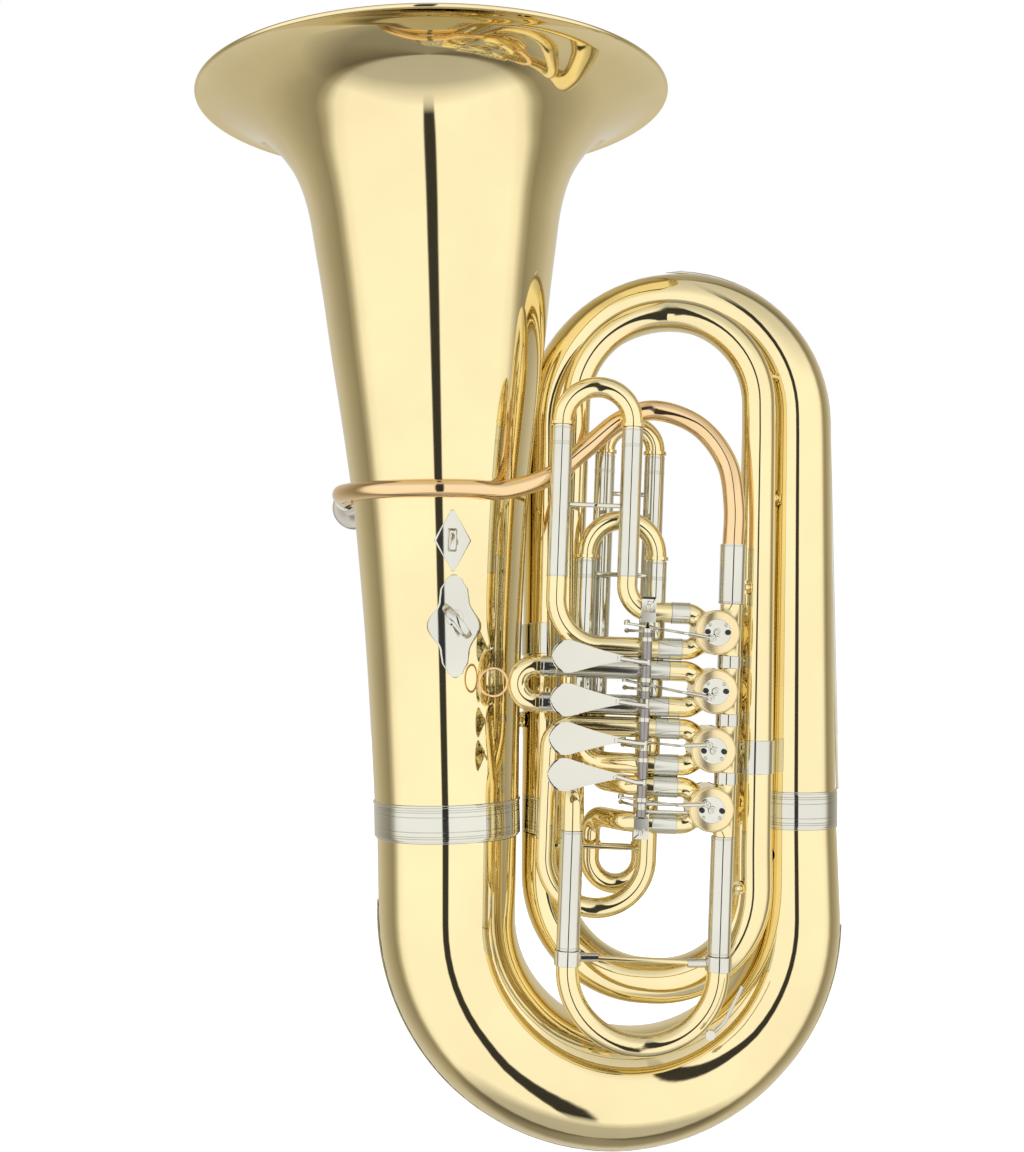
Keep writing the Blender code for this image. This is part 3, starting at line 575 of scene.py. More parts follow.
def valve_loops():
    """Fixed tubing of the four valves: the outer slide tubes and the brass from them to the ports."""
    port_x = VALVE_X - PORT_REACH
    port = [(z + PORT_DZ, z - PORT_DZ) for z in VALVE_Z]

    left, right = FIRST_X
    outer_pair("first_outer_tubes", level(FIRST_X, PORT_Y, FIRST_TOP), [(left, PORT_Y, 556), (right, PORT_Y, 558)],
               level(FIRST_X, PORT_Y, 624))
    loop("first_loop_left", (left, PORT_Y, 555.6), (left, PORT_Y, port[0][1], 44), (port_x, PORT_Y, port[0][1]))
    loop("first_loop_right", (right, PORT_Y, 557.6), (right, PORT_Y, port[0][0], 25), (port_x, PORT_Y, port[0][0]))

    mouths, ends, stay = ([(x, PORT_Y, z) for z in port[1]] for x in (26, port_x, 70))
    outer_pair("second_outer_tubes", mouths, ends, stay, SLIM_OUTER_R)

    left, right = THIRD_X
    outer_pair("third_outer_tubes", *(level(THIRD_X, THIRD_Y, z) for z in (THIRD_TOP, 440, 560)))
    loop("third_loop_left", (left, THIRD_Y, 439.6), (left, THIRD_Y, port[2][1], 26), (112, PORT_Y, port[2][1], 40),
         (port_x, PORT_Y, port[2][1]))
    loop("third_loop_right", (right, THIRD_Y, 439.6), (right, THIRD_Y, 242, 48), (CROOK_X, THIRD_Y, 242, 48),
         (CROOK_X, THIRD_Y, 350), (CROOK_X, -84, port[2][0], 24), (66, PORT_Y, port[2][0]),
         (port_x, PORT_Y, port[2][0]))

    left, right = FOURTH_X
    outer_pair("fourth_outer_tubes", *(level(FOURTH_X, FOURTH_Y, z) for z in (FOURTH_TOP, 440, 640)), SLIM_OUTER_R)
    loop("fourth_loop_upper", (left, FOURTH_Y, 439.6), (left, FOURTH_Y, port[3][0], 22),
         (114, PORT_Y, port[3][0], 22), (port_x, PORT_Y, port[3][0]))
    loop("fourth_loop_lower", (right, FOURTH_Y, 439.6), (right, -40, 262.5, 24.9), (80, -40, 262.5, 24.9),
         (80, -40, port[3][1], 17), (112, PORT_Y, port[3][1], 22), (port_x, PORT_Y, port[3][1]))


def slides():
    """The five slides, each standing a little proud of its outer tubes."""
    proud = 0.3
    first = [leaned(*p) for p in level(FIRST_X, PORT_Y, FIRST_TOP + proud)]
    u_slide("first_slide", *first, UP, 130, 4.6, 9.8)
    second = [leaned(26 - proud, PORT_Y, VALVE_Z[1] + dz) for dz in (PORT_DZ, -PORT_DZ)]
    u_slide("second_slide", *second, LEFT, 100, 4.6, 9.8)
    third = [leaned(*p) for p in level(THIRD_X, THIRD_Y, THIRD_TOP + proud)]
    u_slide("third_slide", *third, UP, 120, 4.6, 9.4)
    fourth = [leaned(*p) for p in level(FOURTH_X, FOURTH_Y, FOURTH_TOP + proud)]
    u_slide("fourth_slide", *fourth, UP, 150, 4.6, 9.4)
    top, mouth = level(TUNING_X, PORT_Y, TUNING_TOP), level(TUNING_X, PORT_Y, 207.0)
    outer_tube("tuning_outer_left", mouth[0], top[0], TUNING_R)
    outer_tube("tuning_outer_right", mouth[1], top[1], TUNING_R)
    main = [leaned(*p) - UP * 110.8 for p in top]
    u_slide("main_tuning_slide", *main, -UP, 95, 16, 10.8, 9.5, 12.4)


def along_y(x, z, front, back, radius, name="helper"):
    """A solid brass cylinder along Y in the valve section."""
    return bar(leaned(x, front, z), leaned(x, back, z), radius, name, BRASS)


def valve(number, height):
    """One rotary valve: casing with its tube stubs, front cap, rotor with spindle and stop arm."""
    casing = along_y(VALVE_X, height, CASING_FRONT, CASING_BACK, CASING_R, f"valve_casing_{number}")
    half = (VALVE_Z[0] - VALVE_Z[1]) / 2 - GAP / 2
    stub = bar(leaned(MAIN_X, PORT_Y, height - half), leaned(MAIN_X, PORT_Y, height + half), 10.3)
    stubs = [stub]
    for dz in (PORT_DZ, -PORT_DZ):
        route = rounded_route([(leaned(VALVE_X - 40.6, PORT_Y, height + dz), 0, TUBE_R),
                               (leaned(VALVE_X - 22, PORT_Y, height + dz), 14, TUBE_R),
                               (leaned(VALVE_X - 6, PORT_Y, height + dz * 0.35), 0, TUBE_R)])
        stubs.append(tube("helper", *route, BRASS))
    joined(casing, *stubs)
    cut(casing, along_y(VALVE_X, height, CASING_FRONT - 5, CASING_BACK + 3, BORE_R))

    profile = [(3.9, 5.5), (18.6, 5.5), (19.4, 5.2), (19.8, 4.6), (20.3, 4.6), (20.9, 4.0), (20.9, 0.0), (3.9, 0.0)]
    turned(f"valve_cap_{number}", profile, leaned(VALVE_X, CASING_FRONT - GAP, height), FRONT,
           BRASS)

    rotor = along_y(VALVE_X, height, CASING_FRONT + 1, CASING_BACK + 2.4, BORE_R - GAP, f"rotor_{number}")
    spindle = along_y(VALVE_X, height, CASING_FRONT - 10.5, CASING_FRONT + 2, 3.4)
    sign = PIN_SIGN[number - 1]
    pin_x, pin_z = VALVE_X - PIN_SIDE, height + sign * PIN_SIDE
    arm = bar(leaned(VALVE_X + 1, -115.0, height - sign), leaned(pin_x - 1.6, -115.0, pin_z + sign * 1.6), 2.0)
    pin = along_y(pin_x, pin_z, -122.5, -114.5, 1.5)
    joined(rotor, spindle, arm, pin)


def rod(number, height):
    """The link from just over the lever's ball to the stop arm's pin, bent to clear the casing."""
    pin_z = height + PIN_SIGN[number - 1] * PIN_SIDE
    pin = leaned(VALVE_X - PIN_SIDE, ROD_Y, pin_z)
    end_z = height + ROD_RISE[number - 1]
    knee = leaned(VALVE_X - 32.0, ROD_Y, pin_z + (end_z - pin_z) * ROD_KNEE[number - 1])
    end = leaned(AXLE_X + BALL_OFFSET.x, AXLE_Y + BALL_OFFSET.y, end_z)
    way = (pin - knee).normalized()
    link = tube(f"rod_{number}", [end, knee, pin - way * 3.0], 1.25, "nickel")
    sleeve = bar(pin - way * 22, pin - way * 3.0, 1.9)
    eye = bar(pin - BACK * 1.6, pin + BACK * 1.6, 3.6)
    cup = bar(end - UP * 1.5, end + UP * 1.9, 3.0)
    joined(link, sleeve, eye, cup)
    cut(link, bar(pin - BACK * 4, pin + BACK * 4, 1.5 + GAP))


def paddle(paddle_z):
    """The mesh of a teardrop touch piece, flat with rounded edges, on stations along its length."""
    wide, narrow, half, taper, tilt = 15.5, 3.0, 0.9, 1.2618, 0.08
    stations = [(wide - wide * math.cos(math.radians(d)), wide * math.sin(math.radians(d)))
                for d in (1, 8, 16, 24, 34, 44, 56, 68, 80, 92, 105)]
    start, start_w = stations[-1]
    for k in range(1, 17):
        u = k / 16
        stations.append((start + (PADDLE_LENGTH - start) * u, narrow + (start_w - narrow) * (1 - u) ** taper))
    rings = []
    for x, w in stations:
        bow = PADDLE_Y + half + tilt * (x - 33) + 0.0004 * (x - 20) ** 2
        ring = []
        for a in circle(24):
            z = w * math.copysign(abs(math.cos(a)) ** 0.6, math.cos(a))
            y = min(half, w) * math.copysign(abs(math.sin(a)) ** 0.35, math.sin(a))
            ring.append(leaned(PADDLE_TIP_X + x, bow + y, paddle_z + z))
        rings.append(ring)
    form = bmesh.new()
    made = vertices(form, rings)
    ring_faces(form, made)
    form.faces.new(made[0])
    form.faces.new(made[-1][::-1])
    face_out(form)
    return meshed("paddle", form)


def lever(number, height):
    """A paddle, its arm over the axle, the hub on the axle and the rear arm with the ball."""
    paddle_z = PADDLE_Z[number - 1]
    cross_z = paddle_z - ARM_DROP[number - 1]
    piece = place(f"lever_{number}", paddle(paddle_z), "nickel")
    arm = [(PADDLE_TIP_X + PADDLE_LENGTH - 3, PADDLE_Y + 2.8, paddle_z), (AXLE_X - 8, AXLE_Y - 8.0, cross_z + 0.6),
           (AXLE_X, AXLE_Y - HUB_R, cross_z)]
    route = [leaned(*p) for p in arm]
    ball_z = height - BALL_DROP
    ends = sorted((cross_z, ball_z))
    low, high = ends[0] - 2.5, ends[1] + 2.5
    hub = bar(leaned(AXLE_X, AXLE_Y, low), leaned(AXLE_X, AXLE_Y, high), HUB_R)
    ball = leaned(AXLE_X + BALL_OFFSET.x, AXLE_Y + BALL_OFFSET.y, ball_z)
    rear = tube("helper", [leaned(AXLE_X, AXLE_Y + 3.0, ball_z), ball], 1.4, "nickel")
    knob = turned("helper", [(0, 2.6), (1.8, 1.8), (2.6, 0), (1.8, -1.8), (0, -2.6)], ball, UP, "nickel", 32)
    joined(piece, tube("helper", route, 2.2, "nickel"), hub, rear, knob)
    cut(piece, bar(leaned(AXLE_X, AXLE_Y, low - 3), leaned(AXLE_X, AXLE_Y, high + 3), AXLE_R + GAP))


def rack():
    """The axle of the levers and the two straps that carry it, screwed together as one piece."""
    low, high = 318.0, 531.0
    axle = bar(leaned(AXLE_X, AXLE_Y, low), leaned(AXLE_X, AXLE_Y, high), AXLE_R, "lever_rack")
    for block_z, reach_z in ((519.5, 527.0), (329.5, 326.0)):
        block = slab("helper", leaned(AXLE_X, AXLE_Y - 1.0, block_z), (13.5, 9.0, 9.0))
        reach = slab("helper", leaned(AXLE_X + 1, -99.2, reach_z), (13.5, 7.0, 24.0))
        joined(axle, block, reach)


def slab(name, centre, size, bevel=0.0):
    """A nickel box that leans with the valve section."""
    form = bmesh.new()
    bmesh.ops.create_cube(form, size=1.0)
    bmesh.ops.scale(form, vec=Vector(size) * MM, verts=form.verts)
    if bevel:
        bmesh.ops.bevel(form, geom=form.edges, offset=bevel * MM, segments=1, affect="EDGES")
    form.transform(Matrix.Translation(world(centre)) @ Matrix.Rotation(LEAN, 4, "Y"))
    return place(name, meshed(name, form), "nickel")


def water_key():
    """A rocking lever on the tuning bow with its pad over the drain nipple."""
    pivot = leaned(207.0, -100.5, 150.0)
    tip = leaned(222.0, -103.0, 183.0)
    pad = leaned(194.0, -99.0, 137.0)
    key = bar(pivot + FRONT * 2.2, tip, 1.7, "water_key")
    tail = bar(pivot + FRONT * 2.2, pad + FRONT * 3.0, 1.7)
    cup = bar(pad + FRONT * 5.0, pad + FRONT * 0.5, 4.6)
    joined(key, tail, cup)


def eased(knots, at):
    """The value at a place between knots of (place, value), eased in and out of each."""
    low = max(k for k in knots if k[0] <= at)
    high = min((k for k in knots if k[0] > at), default=low)
    share = (at - low[0]) / (high[0] - low[0]) if high != low else 0.0
    return low[1] + (high[1] - low[1]) * (0.5 - 0.5 * math.cos(math.pi * share))


def bell_plates():
    """Thumb-ring plate and music-holder plate, soldered to the bell's front."""
    for name, height, half_w, half_h in (("holder_plate", 595.0, 17.0, 29.0), ("thumb_plate", 514.0, 27.0, 49.0)):
        radius = bell_radius(height - BELL_FOOT.z) + 2.4
        around = math.asin(PLATE_X / radius)
        rows = []
        for i in range(49):
            share = i / 24 - 1
            if name == "holder_plate":
                wide = half_w * (1 - abs(share)) + 1.2
            else:
                wide = half_w * eased(PLATE_SHAPE, abs(share))
            z = height + share * half_h
            r = bell_radius(z - BELL_FOOT.z) + 0.4
            turns = (around + (j / 8 - 1) * wide / radius for j in range(17))
            rows.append([bell_centre(z) + Vector((math.sin(turn), -math.cos(turn), 0)) * r for turn in turns])
        sheet(name, rows, 1.0, FRONT)
        if name == "thumb_plate":
            out = Vector((math.sin(around), -math.cos(around), 0))
            thumb_ring(bell_centre(height) + out * radius + Vector((0, 0, 4)))


def thumb_ring(front):
    """An open ring on a short stem, seen nearly edge-on from the front."""
    centre = front + RING_OUT * 16.0
    lie = Vector((0.62, -0.08, -0.78)).normalized()
    bore = lie.cross(RING_OUT).normalized()
    corners = [(13.205 + 0.76 * math.cos(b), 3.5 * math.sin(b)) for b in circle(16)]
    rings = []
    for a in circle(72):
        radial = lie * math.cos(a) * 1.35 + RING_OUT * math.sin(a)
        rings.append([centre + radial * r + bore * h for r, h in corners])
    band("thumb_ring", rings, "nickel")


def brace(name, start, end, start_r, end_r, radius=2.8, foot=6.5):
    """A stay between two tubes, with a round foot at each end, that stops just clear of their walls."""
    start, end = Vector(start), Vector(end)
    way = (end - start).normalized()
    a, b = start + way * (start_r + GAP + 0.3), end - way * (end_r + GAP + 0.3)
    stay = bar(a + way * 0.8, b - way * 0.8, radius, name, BRASS)
    joined(stay, bar(a, a + way * 1.6, foot), bar(b - way * 1.6, b, foot))


def braces():
    """The five stays between the large tubes."""
    main = leaned(MAIN_X, PORT_Y, 552)
    brace("valve_brace_upper", main, (236.0, -50, main.z), 12.3, 17.6)
    main = leaned(TUNING_X[1], PORT_Y, 266)
    brace("valve_brace_lower", main, (230.3, -50, main.z), 11.3, 20.4)
    brace("branch_brace_upper", (238.0, -50, 640), (283.2, 0, 640), 17.0, 37.4, 3.2, 8)
    brace("branch_brace_lower", (230.3, -50, 292), (278.4, 0, 292), 20.2, 45.5, 3.2, 8)
    brace("bell_brace", (-67.7, 0, 420), (35.6, 30, 420), 75.8, 25.2, 3.2, 8)


def pull_ring():
    """The round wire ring on the second slide's bow."""
    centre, ring_r, wire = leaned(-18.6, -92.5, VALVE_Z[1]), 13.0, 1.3
    rings = []
    for a in circle(72):
        radial = Vector((math.cos(a), 0.12 * math.cos(a), math.sin(a)))
        rings.append([centre + radial * (ring_r + wire * math.cos(b)) + BACK * wire * math.sin(b)
                      for b in circle(16)])
    band("pull_ring", rings, "rose_brass")


def sleeve(name, centre, direction, length, radius, wall, finish="nickel", body="root"):
    """A plain ferrule with rounded edges, centred on a tube's axis."""
    direction = Vector(direction).normalized()
    profile = [(radius - wall, length), (radius - 0.3, length), (radius, length - 0.3), (radius, 0.3),
               (radius - 0.3, 0.0), (radius - wall, 0.0)]
    extra(turned(name, profile, Vector(centre) - direction * length / 2, direction, finish, 48), body)


def extra(piece, body="root"):
    """A fitting that the CAD leaves out: it is listed among the extras and rides on its body, keeping the finish it
    was made with.
    """
    EXTRAS.append(piece)
    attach(piece, body)
    return piece


def rings(name, places, direction, radius, wire):
    """A thin raised nickel ring round a tube at each place."""
    for count, place_at in enumerate(places, 1):
        profile = [(radius + wire * math.sin(a), wire * math.cos(a) * 1.6)
                   for a in (math.pi * k / 6 for k in range(7))]
        profile += [(radius - 0.5, -wire * 1.6), (radius - 0.5, wire * 1.6)]
        extra(turned(f"{name}_{count}", profile, place_at, direction, "nickel", 48))


def screw(name, centre, outward, radius, body="root"):
    """A round nickel screw head with a slot across it."""
    outward = Vector(outward).normalized()
    profile = [(0.0, 1.6), (radius * 0.7, 1.5), (radius * 0.95, 1.0), (radius, 0.4), (radius, 0.0), (0.0, 0.0)]
    head = turned(name, profile, centre, outward, "nickel", 32)
    form = bmesh.new()
    bmesh.ops.create_cube(form, size=1.0)
    bmesh.ops.scale(form, vec=Vector((radius * 3, 0.55, 1.6)) * MM, verts=form.verts)
    turn = outward.to_track_quat("Z", "Y").to_matrix().to_4x4() @ Matrix.Rotation(0.6, 4, "Z")
    form.transform(Matrix.Translation(world(Vector(centre) + outward * 1.5)) @ turn)
    extra(cut(head, place("slot", meshed("slot", form), "nickel")), body)


def ferrules():
    """Nickel sleeves over the joints of the brass tubing, and the rings on the slide mouths."""
    for name, along, radius in (("bell_lip", 16.4, bell_radius(16.4) + 0.75), ("bow_lip", -17.4, 70.3)):
        rings(name, [BELL_FOOT + BELL_AXIS * along], BELL_AXIS, radius, 0.95)
    for name, height, radius in (("branch_lip", 352.0, 42.9), ("branch_foot_lip", 318.0, 43.4)):
        at = BRANCH_FOOT + Vector(((height - BRANCH_FOOT.z) * 0.01, 0, height - BRANCH_FOOT.z))
        rings(name, [at], (0.01, 0, 1), radius, 0.8)
    sleeve("left_ferrule", (36.4, 37.0, 500), (0.0085, 0.096, 1), 31, 26.4, 1.3)
    sleeve("right_ferrule", (232.4, -50.0, 389), (0.028, 0, 1), 32, 19.9, 0.9)
    sleeve("left_tube_ferrule", (56.9, -30.0, 420), (0, 0, 1), 8, 12.9, 1.0)
    for count, (high, low) in enumerate(zip(VALVE_Z, VALVE_Z[1:]), 1):
        sleeve(f"valve_line_ferrule_{count}", leaned(MAIN_X, PORT_Y, (high + low) / 2), UP, 11.5, 11.1, 0.7)
    for count in (1, 3, 4):
        for side, dz in (("upper", PORT_DZ), ("lower", -PORT_DZ)):
            out, length = (32.0, 17.5) if (count, side) == (1, "upper") else (PORT_REACH, 23.0)
            at = leaned(VALVE_X - out, PORT_Y, VALVE_Z[count - 1] + dz)
            sleeve(f"port_ferrule_{count}_{side}", at, LEFT, length, 10.15, 0.5)
            ends = LEFT * (length / 2 - 0.6)
            rings(f"port_ring_{count}_{side}", [at + ends, at - ends], LEFT, 10.15, 0.3)
    for name, legs, y, top, radius in (("first", FIRST_X, PORT_Y, FIRST_TOP, OUTER_R),
                                       ("third", THIRD_X, THIRD_Y, THIRD_TOP, OUTER_R),
                                       ("fourth", FOURTH_X, FOURTH_Y, FOURTH_TOP, SLIM_OUTER_R)):
        down = [leaned(x, y, top - dz) for x in legs for dz in (2, 15.5, 17.5)]
        rings(f"{name}_mouth_ring", down, UP, radius, 0.35)
    rings("second_mouth_ring", [leaned(x, PORT_Y, VALVE_Z[1] + dz) for x in (28, 40) for dz in (PORT_DZ, -PORT_DZ)],
          LEFT, SLIM_OUTER_R, 0.35)
    rings("tuning_ring", [leaned(x, PORT_Y, z) for x in TUNING_X for z in (209, 315.5)], UP, TUNING_R, 0.4)
    rings("receiver_ring", [leaned(MAIN_X, PORT_Y, z) for z in (537, 590)], UP, 12.0, 0.4)
    rings("first_outer_end", [leaned(x, PORT_Y, z) for x, z in zip(FIRST_X, (556, 558))], UP, OUTER_R, 0.35)
    tuning_stay()


def tuning_stay():
    """The collars on the main tuning slide, and the sleeved stay between them."""
    collars = [leaned(x, PORT_Y, 199.5) for x in TUNING_X]
    for count, at in enumerate(collars, 1):
        sleeve(f"tuning_collar_{count}", at, UP, 14.0, 12.6, 1.4, body="main_tuning_slide")
    inset = Vector((11, 0, 0))
    stay = bar(collars[0] + inset, collars[1] - inset, 2.6, "tuning_stay", BRASS)
    extra(stay, "main_tuning_slide")
    for count, (at, way) in enumerate(zip(collars, (1, -1)), 1):
        sleeve(f"tuning_stay_sleeve_{count}", at + Vector((20.5 * way, 0, 0)), (1, 0, 0), 17, 4.2, 1.5,
               body="main_tuning_slide")


def guard_wire():
    """The thin nickel line along the outer branch's outer edge and over its bow."""
    route = [((283.0 + 41.3, 2, 352), 0, 1.4), ((284.5 + 34.8, 2, 700), 0, 1.4), ((284.5 + 34.6, 6, 880.5), 158, 1.4),
             ((175, 24, 877.0), 0, 1.4)]
    extra(tube("guard_wire", *rounded_route(route), "nickel"))


def valve_fittings():
    """Stop plates, corks, spindle screws, pin screws and rear caps of the four valves."""
    front = CASING_FRONT - 5.5
    cork_shape = [(0.0, 3.4), (2.0, 3.4), (2.5, 2.8), (2.5, 0.0), (0.0, 0.0)]
    rear_shape = [(0.0, 4.6), (6.0, 4.6), (6.4, 3.0), (19.5, 2.4), (20.7, 1.4), (20.9, 0.0), (0.0, 0.0)]
    for number, (height, sign) in enumerate(zip(VALVE_Z, PIN_SIGN), 1):
        sleeve(f"stop_plate_{number}", leaned(VALVE_X, front - 0.35, height), FRONT, 0.7, 12.4, 8.6)
        for side, label in ((-1, "left"), (1, "right")):
            at = leaned(VALVE_X + side * 9.3, front - 0.6, height - sign * 0.5)
            extra(turned(f"cork_{number}_{label}", cork_shape, at, FRONT, "rubber", 24))
            screw(f"cork_screw_{number}_{label}",
                  leaned(VALVE_X + side * 7.4, front - 0.6, height - sign * 7.2), FRONT, 1.7)
        screw(f"spindle_screw_{number}", leaned(VALVE_X, CASING_FRONT - 10.4, height), FRONT, 2.3,
              f"rotor_{number}")
        screw(f"pin_screw_{number}", leaned(VALVE_X - PIN_SIDE, -122.2, height + sign * PIN_SIDE), FRONT, 2.9,
              f"rotor_{number}")
        extra(turned(f"rear_cap_{number}", rear_shape, leaned(VALVE_X, CASING_BACK - 0.2, height), BACK,
                     BRASS))


def rack_fittings():
    """Dark return-spring barrels and bright collars on the levers' axle, and the strap screws."""
    for count, (low, high) in enumerate(((456.6, 475.0), (406.0, 435.2), (370.0, 396.2), (335.0, 341.8)), 1):
        sleeve(f"spring_barrel_{count}", leaned(AXLE_X, AXLE_Y, (low + high) / 2), UP, high - low, 4.7, 2.3,
               "dark_steel")
    for number, low, high in ((1, 480.4, 505.6), (2, 444.0, 451.2), (4, 347.4, 364.4)):
        sleeve(f"lever_barrel_{number}", leaned(AXLE_X, AXLE_Y, (low + high) / 2), UP, high - low, 4.75, 1.2,
               "dark_steel", f"lever_{number}")
    for count, (at, body) in enumerate(((499.2, "lever_1"), (461.5, "root"), (424.9, "root"), (387.7, "root"),
                                        (351.0, "lever_4")), 1):
        sleeve(f"axle_collar_{count}", leaned(AXLE_X, AXLE_Y, at), UP, 4.2, 5.6, 3.2, body=body)
    screw("strap_screw_top", leaned(AXLE_X + 1, -102.7, 531.5), FRONT, 3.9)
    screw("strap_screw_bottom", leaned(AXLE_X + 1, -102.7, 321.0), FRONT, 3.9)
    for count, z in enumerate((339.5, 346.5), 1):
        tie = bar(leaned(AXLE_X + 5, -99.0, z), leaned(VALVE_X - 20, -99.0, z + 0.5), 1.6, f"rack_tie_{count}")
        extra(tie)
    for number, (height, rise) in enumerate(zip(VALVE_Z, ROD_RISE), 1):
        end = leaned(AXLE_X + BALL_OFFSET.x, AXLE_Y + BALL_OFFSET.y, height + rise + 1.9)
        screw(f"rod_nut_{number}", end, UP, 2.6, f"rod_{number}")


def plate_fittings():
    """The holder's block and thumbscrew, and the ring's stem."""
    front = leaned_front(595.0)
    block = extra(slab("holder_block", front - BACK * 5.0, (8.0, 9.0, 22.0), 1.2))
    cut(block, bar(front + Vector((0, -14, 4)), front + Vector((0, 3, 4)), 1.9))
    screw("holder_thumbscrew", front + Vector((3.4, -5.4, -1.5)), (1, -0.25, 0), 3.4)
    profile = [(3.2, 6.0), (3.6, 4.0), (4.6, 2.0), (8.0, 0.9), (8.4, 0.0), (0.0, 0.0), (0.0, 6.0)]
    extra(turned("ring_stem", profile, leaned_front(522.0), RING_OUT, "nickel", 40))


def leaned_front(height):
    """A point on the bell's front, a little right of its middle, where the plates sit."""
    radius = bell_radius(height - BELL_FOOT.z) + 1.2
    return bell_centre(height) + Vector((PLATE_X, -math.sqrt(radius**2 - PLATE_X**2), 0))


def small_stays():
    """Braces too small for the CAD, between neighbouring tubes."""
    spots = (("upper_stay_1", (62.0, -36, 640), (38.0, 50, 640), 13.4, 26.2),
             ("upper_stay_2", (239.5, -50, 760), (284.3, 1, 760), 16.6, 36.0),
             ("crook_stay", leaned(80, -40, 299), leaned(130, -40, 299), 9.4, 9.4),
             ("third_stay", leaned(CROOK_X, THIRD_Y, 300), leaned(133, THIRD_Y, 300), 9.4, 9.4))
    for name, start, end, start_r, end_r in spots:
        start, end = Vector(start), Vector(end)
        way = (end - start).normalized()
        a, b = start + way * start_r, end - way * end_r
        extra(bar(a, b, 2.2, name, BRASS))
        for at, label in ((a, "a"), (b, "b")):
            foot = bar(at - way * 0.9, at + way * 0.9, 4.6, f"{name}_foot_{label}", BRASS)
            extra(foot)


def finish_material(name, colour, roughness, scale=60.0, depth=0.02, metallic=1.0):
    """A polished metal: slow drifts of tone, a faint haze in the polish and a very shallow waviness."""
    made = bpy.data.materials.new(name + "_finish")
    made.use_nodes = True
    nodes, links = made.node_tree.nodes, made.node_tree.links
    shader = nodes["Principled BSDF"]
    shader.inputs["Metallic"].default_value = metallic
    where = nodes.new("ShaderNodeTexCoord")

    def noise(size, detail):
        texture = nodes.new("ShaderNodeTexNoise")
        texture.inputs["Scale"].default_value = size
        texture.inputs["Detail"].default_value = detail
        links.new(where.outputs["Object"], texture.inputs["Vector"])
        return texture.outputs["Fac"]

    tone = nodes.new("ShaderNodeValToRGB")
    for element, position, change in zip(tone.color_ramp.elements, (0.3, 0.7), (0.95, 1.05)):
        element.position = position
        element.color = (*[min(1.0, c * change) for c in colour], 1)
    levels = nodes.new("ShaderNodeMapRange")
    levels.inputs["To Min"].default_value = roughness * 0.7
    levels.inputs["To Max"].default_value = roughness * 1.35
    bump = nodes.new("ShaderNodeBump")
    bump.inputs["Strength"].default_value = depth
    bump.inputs["Distance"].default_value = 0.001
    links.new(noise(9.0, 3.0), tone.inputs["Fac"])
    links.new(tone.outputs["Color"], shader.inputs["Base Color"])
    links.new(noise(scale, 4.0), levels.inputs["Value"])
    links.new(levels.outputs["Result"], shader.inputs["Roughness"])
    links.new(noise(22.0, 2.0), bump.inputs["Height"])
    links.new(bump.outputs["Normal"], shader.inputs["Normal"])
    return made


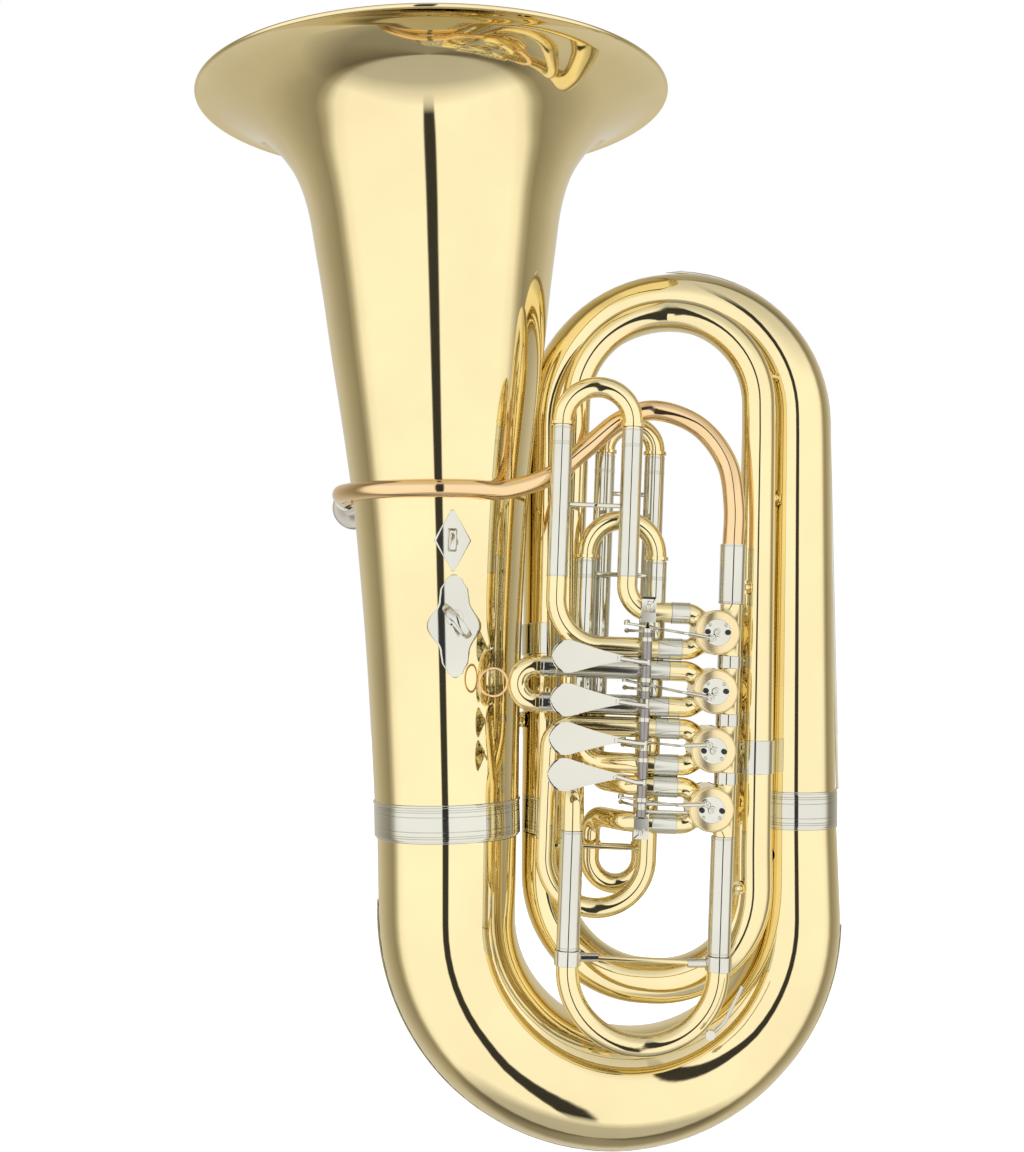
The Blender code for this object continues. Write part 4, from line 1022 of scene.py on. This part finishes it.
def studio_light():
    """A white surround with darker flanks and a dark slot behind the camera, which itself sees plain white."""
    light = bpy.data.worlds.new("studio")
    bpy.context.scene.world = light
    light.use_nodes = True
    nodes, links = light.node_tree.nodes, light.node_tree.links

    def maths(operation, first, second=None):
        """A new maths node's value; an input is a number or another node's output."""
        node = nodes.new("ShaderNodeMath")
        node.operation = operation
        for socket, given in zip(node.inputs, (first, second)):
            if isinstance(given, float):
                socket.default_value = given
            elif given is not None:
                links.new(given, socket)
        return node.outputs["Value"]

    def ramp(factor, *stops):
        """A ramp of greys, warmer as they darken, from (position, level) stops."""
        node = nodes.new("ShaderNodeValToRGB")
        for at, _ in stops[2:]:
            node.color_ramp.elements.new(at)
        for element, (at, level) in zip(node.color_ramp.elements, stops):
            element.position = at
            element.color = (level, level * (0.88 + 0.11 * level), level * (0.64 + 0.34 * level), 1)
        links.new(factor, node.inputs["Fac"])
        return node.outputs["Color"]

    where = nodes.new("ShaderNodeTexCoord")
    split = nodes.new("ShaderNodeSeparateXYZ")
    links.new(where.outputs["Generated"], split.inputs["Vector"])
    # How far round a direction is, from 0 straight ahead to 1 behind the camera, then how high, from 0 to 1.
    turn = maths("ARCTAN2", split.outputs["X"], split.outputs["Y"])
    behind = maths("DIVIDE", maths("ABSOLUTE", turn), math.pi)
    rise = nodes.new("ShaderNodeMapRange")
    rise.inputs["From Min"].default_value = -1.0
    links.new(split.outputs["Z"], rise.inputs["Value"])
    rise = rise.outputs["Result"]
    flanks = ramp(behind, (0.0, 0.58), (0.22, 0.52), (0.36, 0.36), (0.45, 0.27), (0.49, 0.42), (0.54, 0.90),
                  (0.60, 1.0), (1.0, 1.0))
    height = ramp(rise, (0.0, 0.46), (0.05, 0.50), (0.11, 0.97), (0.5, 1.0), (0.72, 1.0), (0.86, 0.74), (1.0, 0.6))
    slot_wide = ramp(behind, (0.0, 0.0), (0.969, 0.0), (0.975, 1.0), (1.0, 1.0))
    slot_high = ramp(rise, (0.0, 0.0), (0.08, 0.0), (0.14, 0.98), (0.80, 0.98), (0.9, 0.3), (1.0, 0.0))
    outside_slot = maths("SUBTRACT", 1.0, maths("MULTIPLY", slot_wide, slot_high))
    dim = nodes.new("ShaderNodeMix")
    dim.data_type = "RGBA"
    dim.blend_type = "MULTIPLY"
    factor, _, _, _, _, _, base, blend = dim.inputs[:8]
    factor.default_value = 1.0
    links.new(flanks, base)
    links.new(maths("MULTIPLY", outside_slot, height), blend)
    surround = nodes["Background"]
    surround.inputs["Strength"].default_value = 1.2
    links.new(dim.outputs[2], surround.inputs["Color"])
    plain = nodes.new("ShaderNodeBackground")
    plain.inputs["Color"].default_value = (1, 1, 1, 1)
    path = nodes.new("ShaderNodeLightPath")
    mix = nodes.new("ShaderNodeMixShader")
    links.new(path.outputs["Is Camera Ray"], mix.inputs[0])
    links.new(surround.outputs["Background"], mix.inputs[1])
    links.new(plain.outputs["Background"], mix.inputs[2])
    links.new(mix.outputs["Shader"], nodes["World Output"].inputs["Surface"])


def studio_floor():
    """A pale floor that reflections leave out."""
    form = bmesh.new()
    bmesh.ops.create_grid(form, x_segments=1, y_segments=1, size=6.0)
    bmesh.ops.translate(form, vec=(0, 0, -0.004), verts=form.verts)
    mesh = meshed("floor", form)
    floor = bpy.data.objects.new("floor", mesh)
    bpy.context.scene.collection.objects.link(floor)
    paint = bpy.data.materials.new("pale_floor")
    paint.use_nodes = True
    shader = paint.node_tree.nodes["Principled BSDF"]
    shader.inputs["Base Color"].default_value = (0.9, 0.9, 0.9, 1)
    shader.inputs["Roughness"].default_value = 0.9
    shader.inputs["Emission Color"].default_value = (1, 1, 1, 1)
    shader.inputs["Emission Strength"].default_value = 0.8
    mesh.materials.append(paint)
    floor.visible_glossy = False


def camera():
    """The view from the front, slightly below the middle and tilted up."""
    lens = bpy.data.cameras.new("camera")
    lens.sensor_fit = "HORIZONTAL"
    lens.sensor_width = 36.0
    lens.lens = 36.0 * CAMERA_FOCAL
    made = bpy.data.objects.new("camera", lens)
    bpy.context.scene.collection.objects.link(made)
    made.location = CAMERA_AT
    made.rotation_euler = (math.radians(90.0 + CAMERA_UP), 0.0, 0.0)
    bpy.context.scene.camera = made


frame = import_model()
FINISHES = {
    "lacquered_brass": finish_material("lacquered_brass", (0.87, 0.745, 0.43), 0.045),
    "satin_brass": finish_material("satin_brass", (0.87, 0.72, 0.42), 0.20),
    "rose_brass": finish_material("rose_brass", (0.84, 0.61, 0.34), 0.055),
    "nickel": finish_material("nickel", (0.68, 0.675, 0.60), 0.055),
    "silver": finish_material("silver", (0.90, 0.90, 0.90), 0.05),
    "dark_steel": finish_material("dark_steel", (0.34, 0.32, 0.31), 0.28, 400.0, 0.2),
    "rubber": finish_material("rubber", (0.012, 0.012, 0.012), 0.5, 300.0, 0.1, metallic=0.0),
}
SLOTS = {part["node"]: part["material_slot"] for part in frame["record"]["subparts"]}
BODY_OF = {node: body for body, nodes in frame["record"]["behaviour"]["bodies"].items() for node in nodes}
PIECES = collection("tuba_looks")
EXTRAS = []

bugle()
leadpipe()
ring_on("leadpipe_receiver", leaned(MAIN_X, PORT_Y, 535.6), UP, 56.0, 12.0, 1.4)
for count, centre_z in enumerate(VALVE_Z, 1):
    valve(count, centre_z)
    rod(count, centre_z)
    lever(count, centre_z)
rack()
valve_loops()
slides()
water_key()
bell_plates()
braces()
pull_ring()
for node in frame["nodes"]:
    fine = bpy.data.objects[node + "_fine"]
    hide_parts(node)
    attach(fine, BODY_OF[node])
    fine.data.materials[0] = FINISHES["satin_brass" if node.startswith("valve_cap") else SLOTS[node]]
ferrules()
guard_wire()
valve_fittings()
rack_fittings()
plate_fittings()
small_stays()
bpy.context.scene.view_settings.view_transform = "Standard"
studio_light()
studio_floor()
camera()
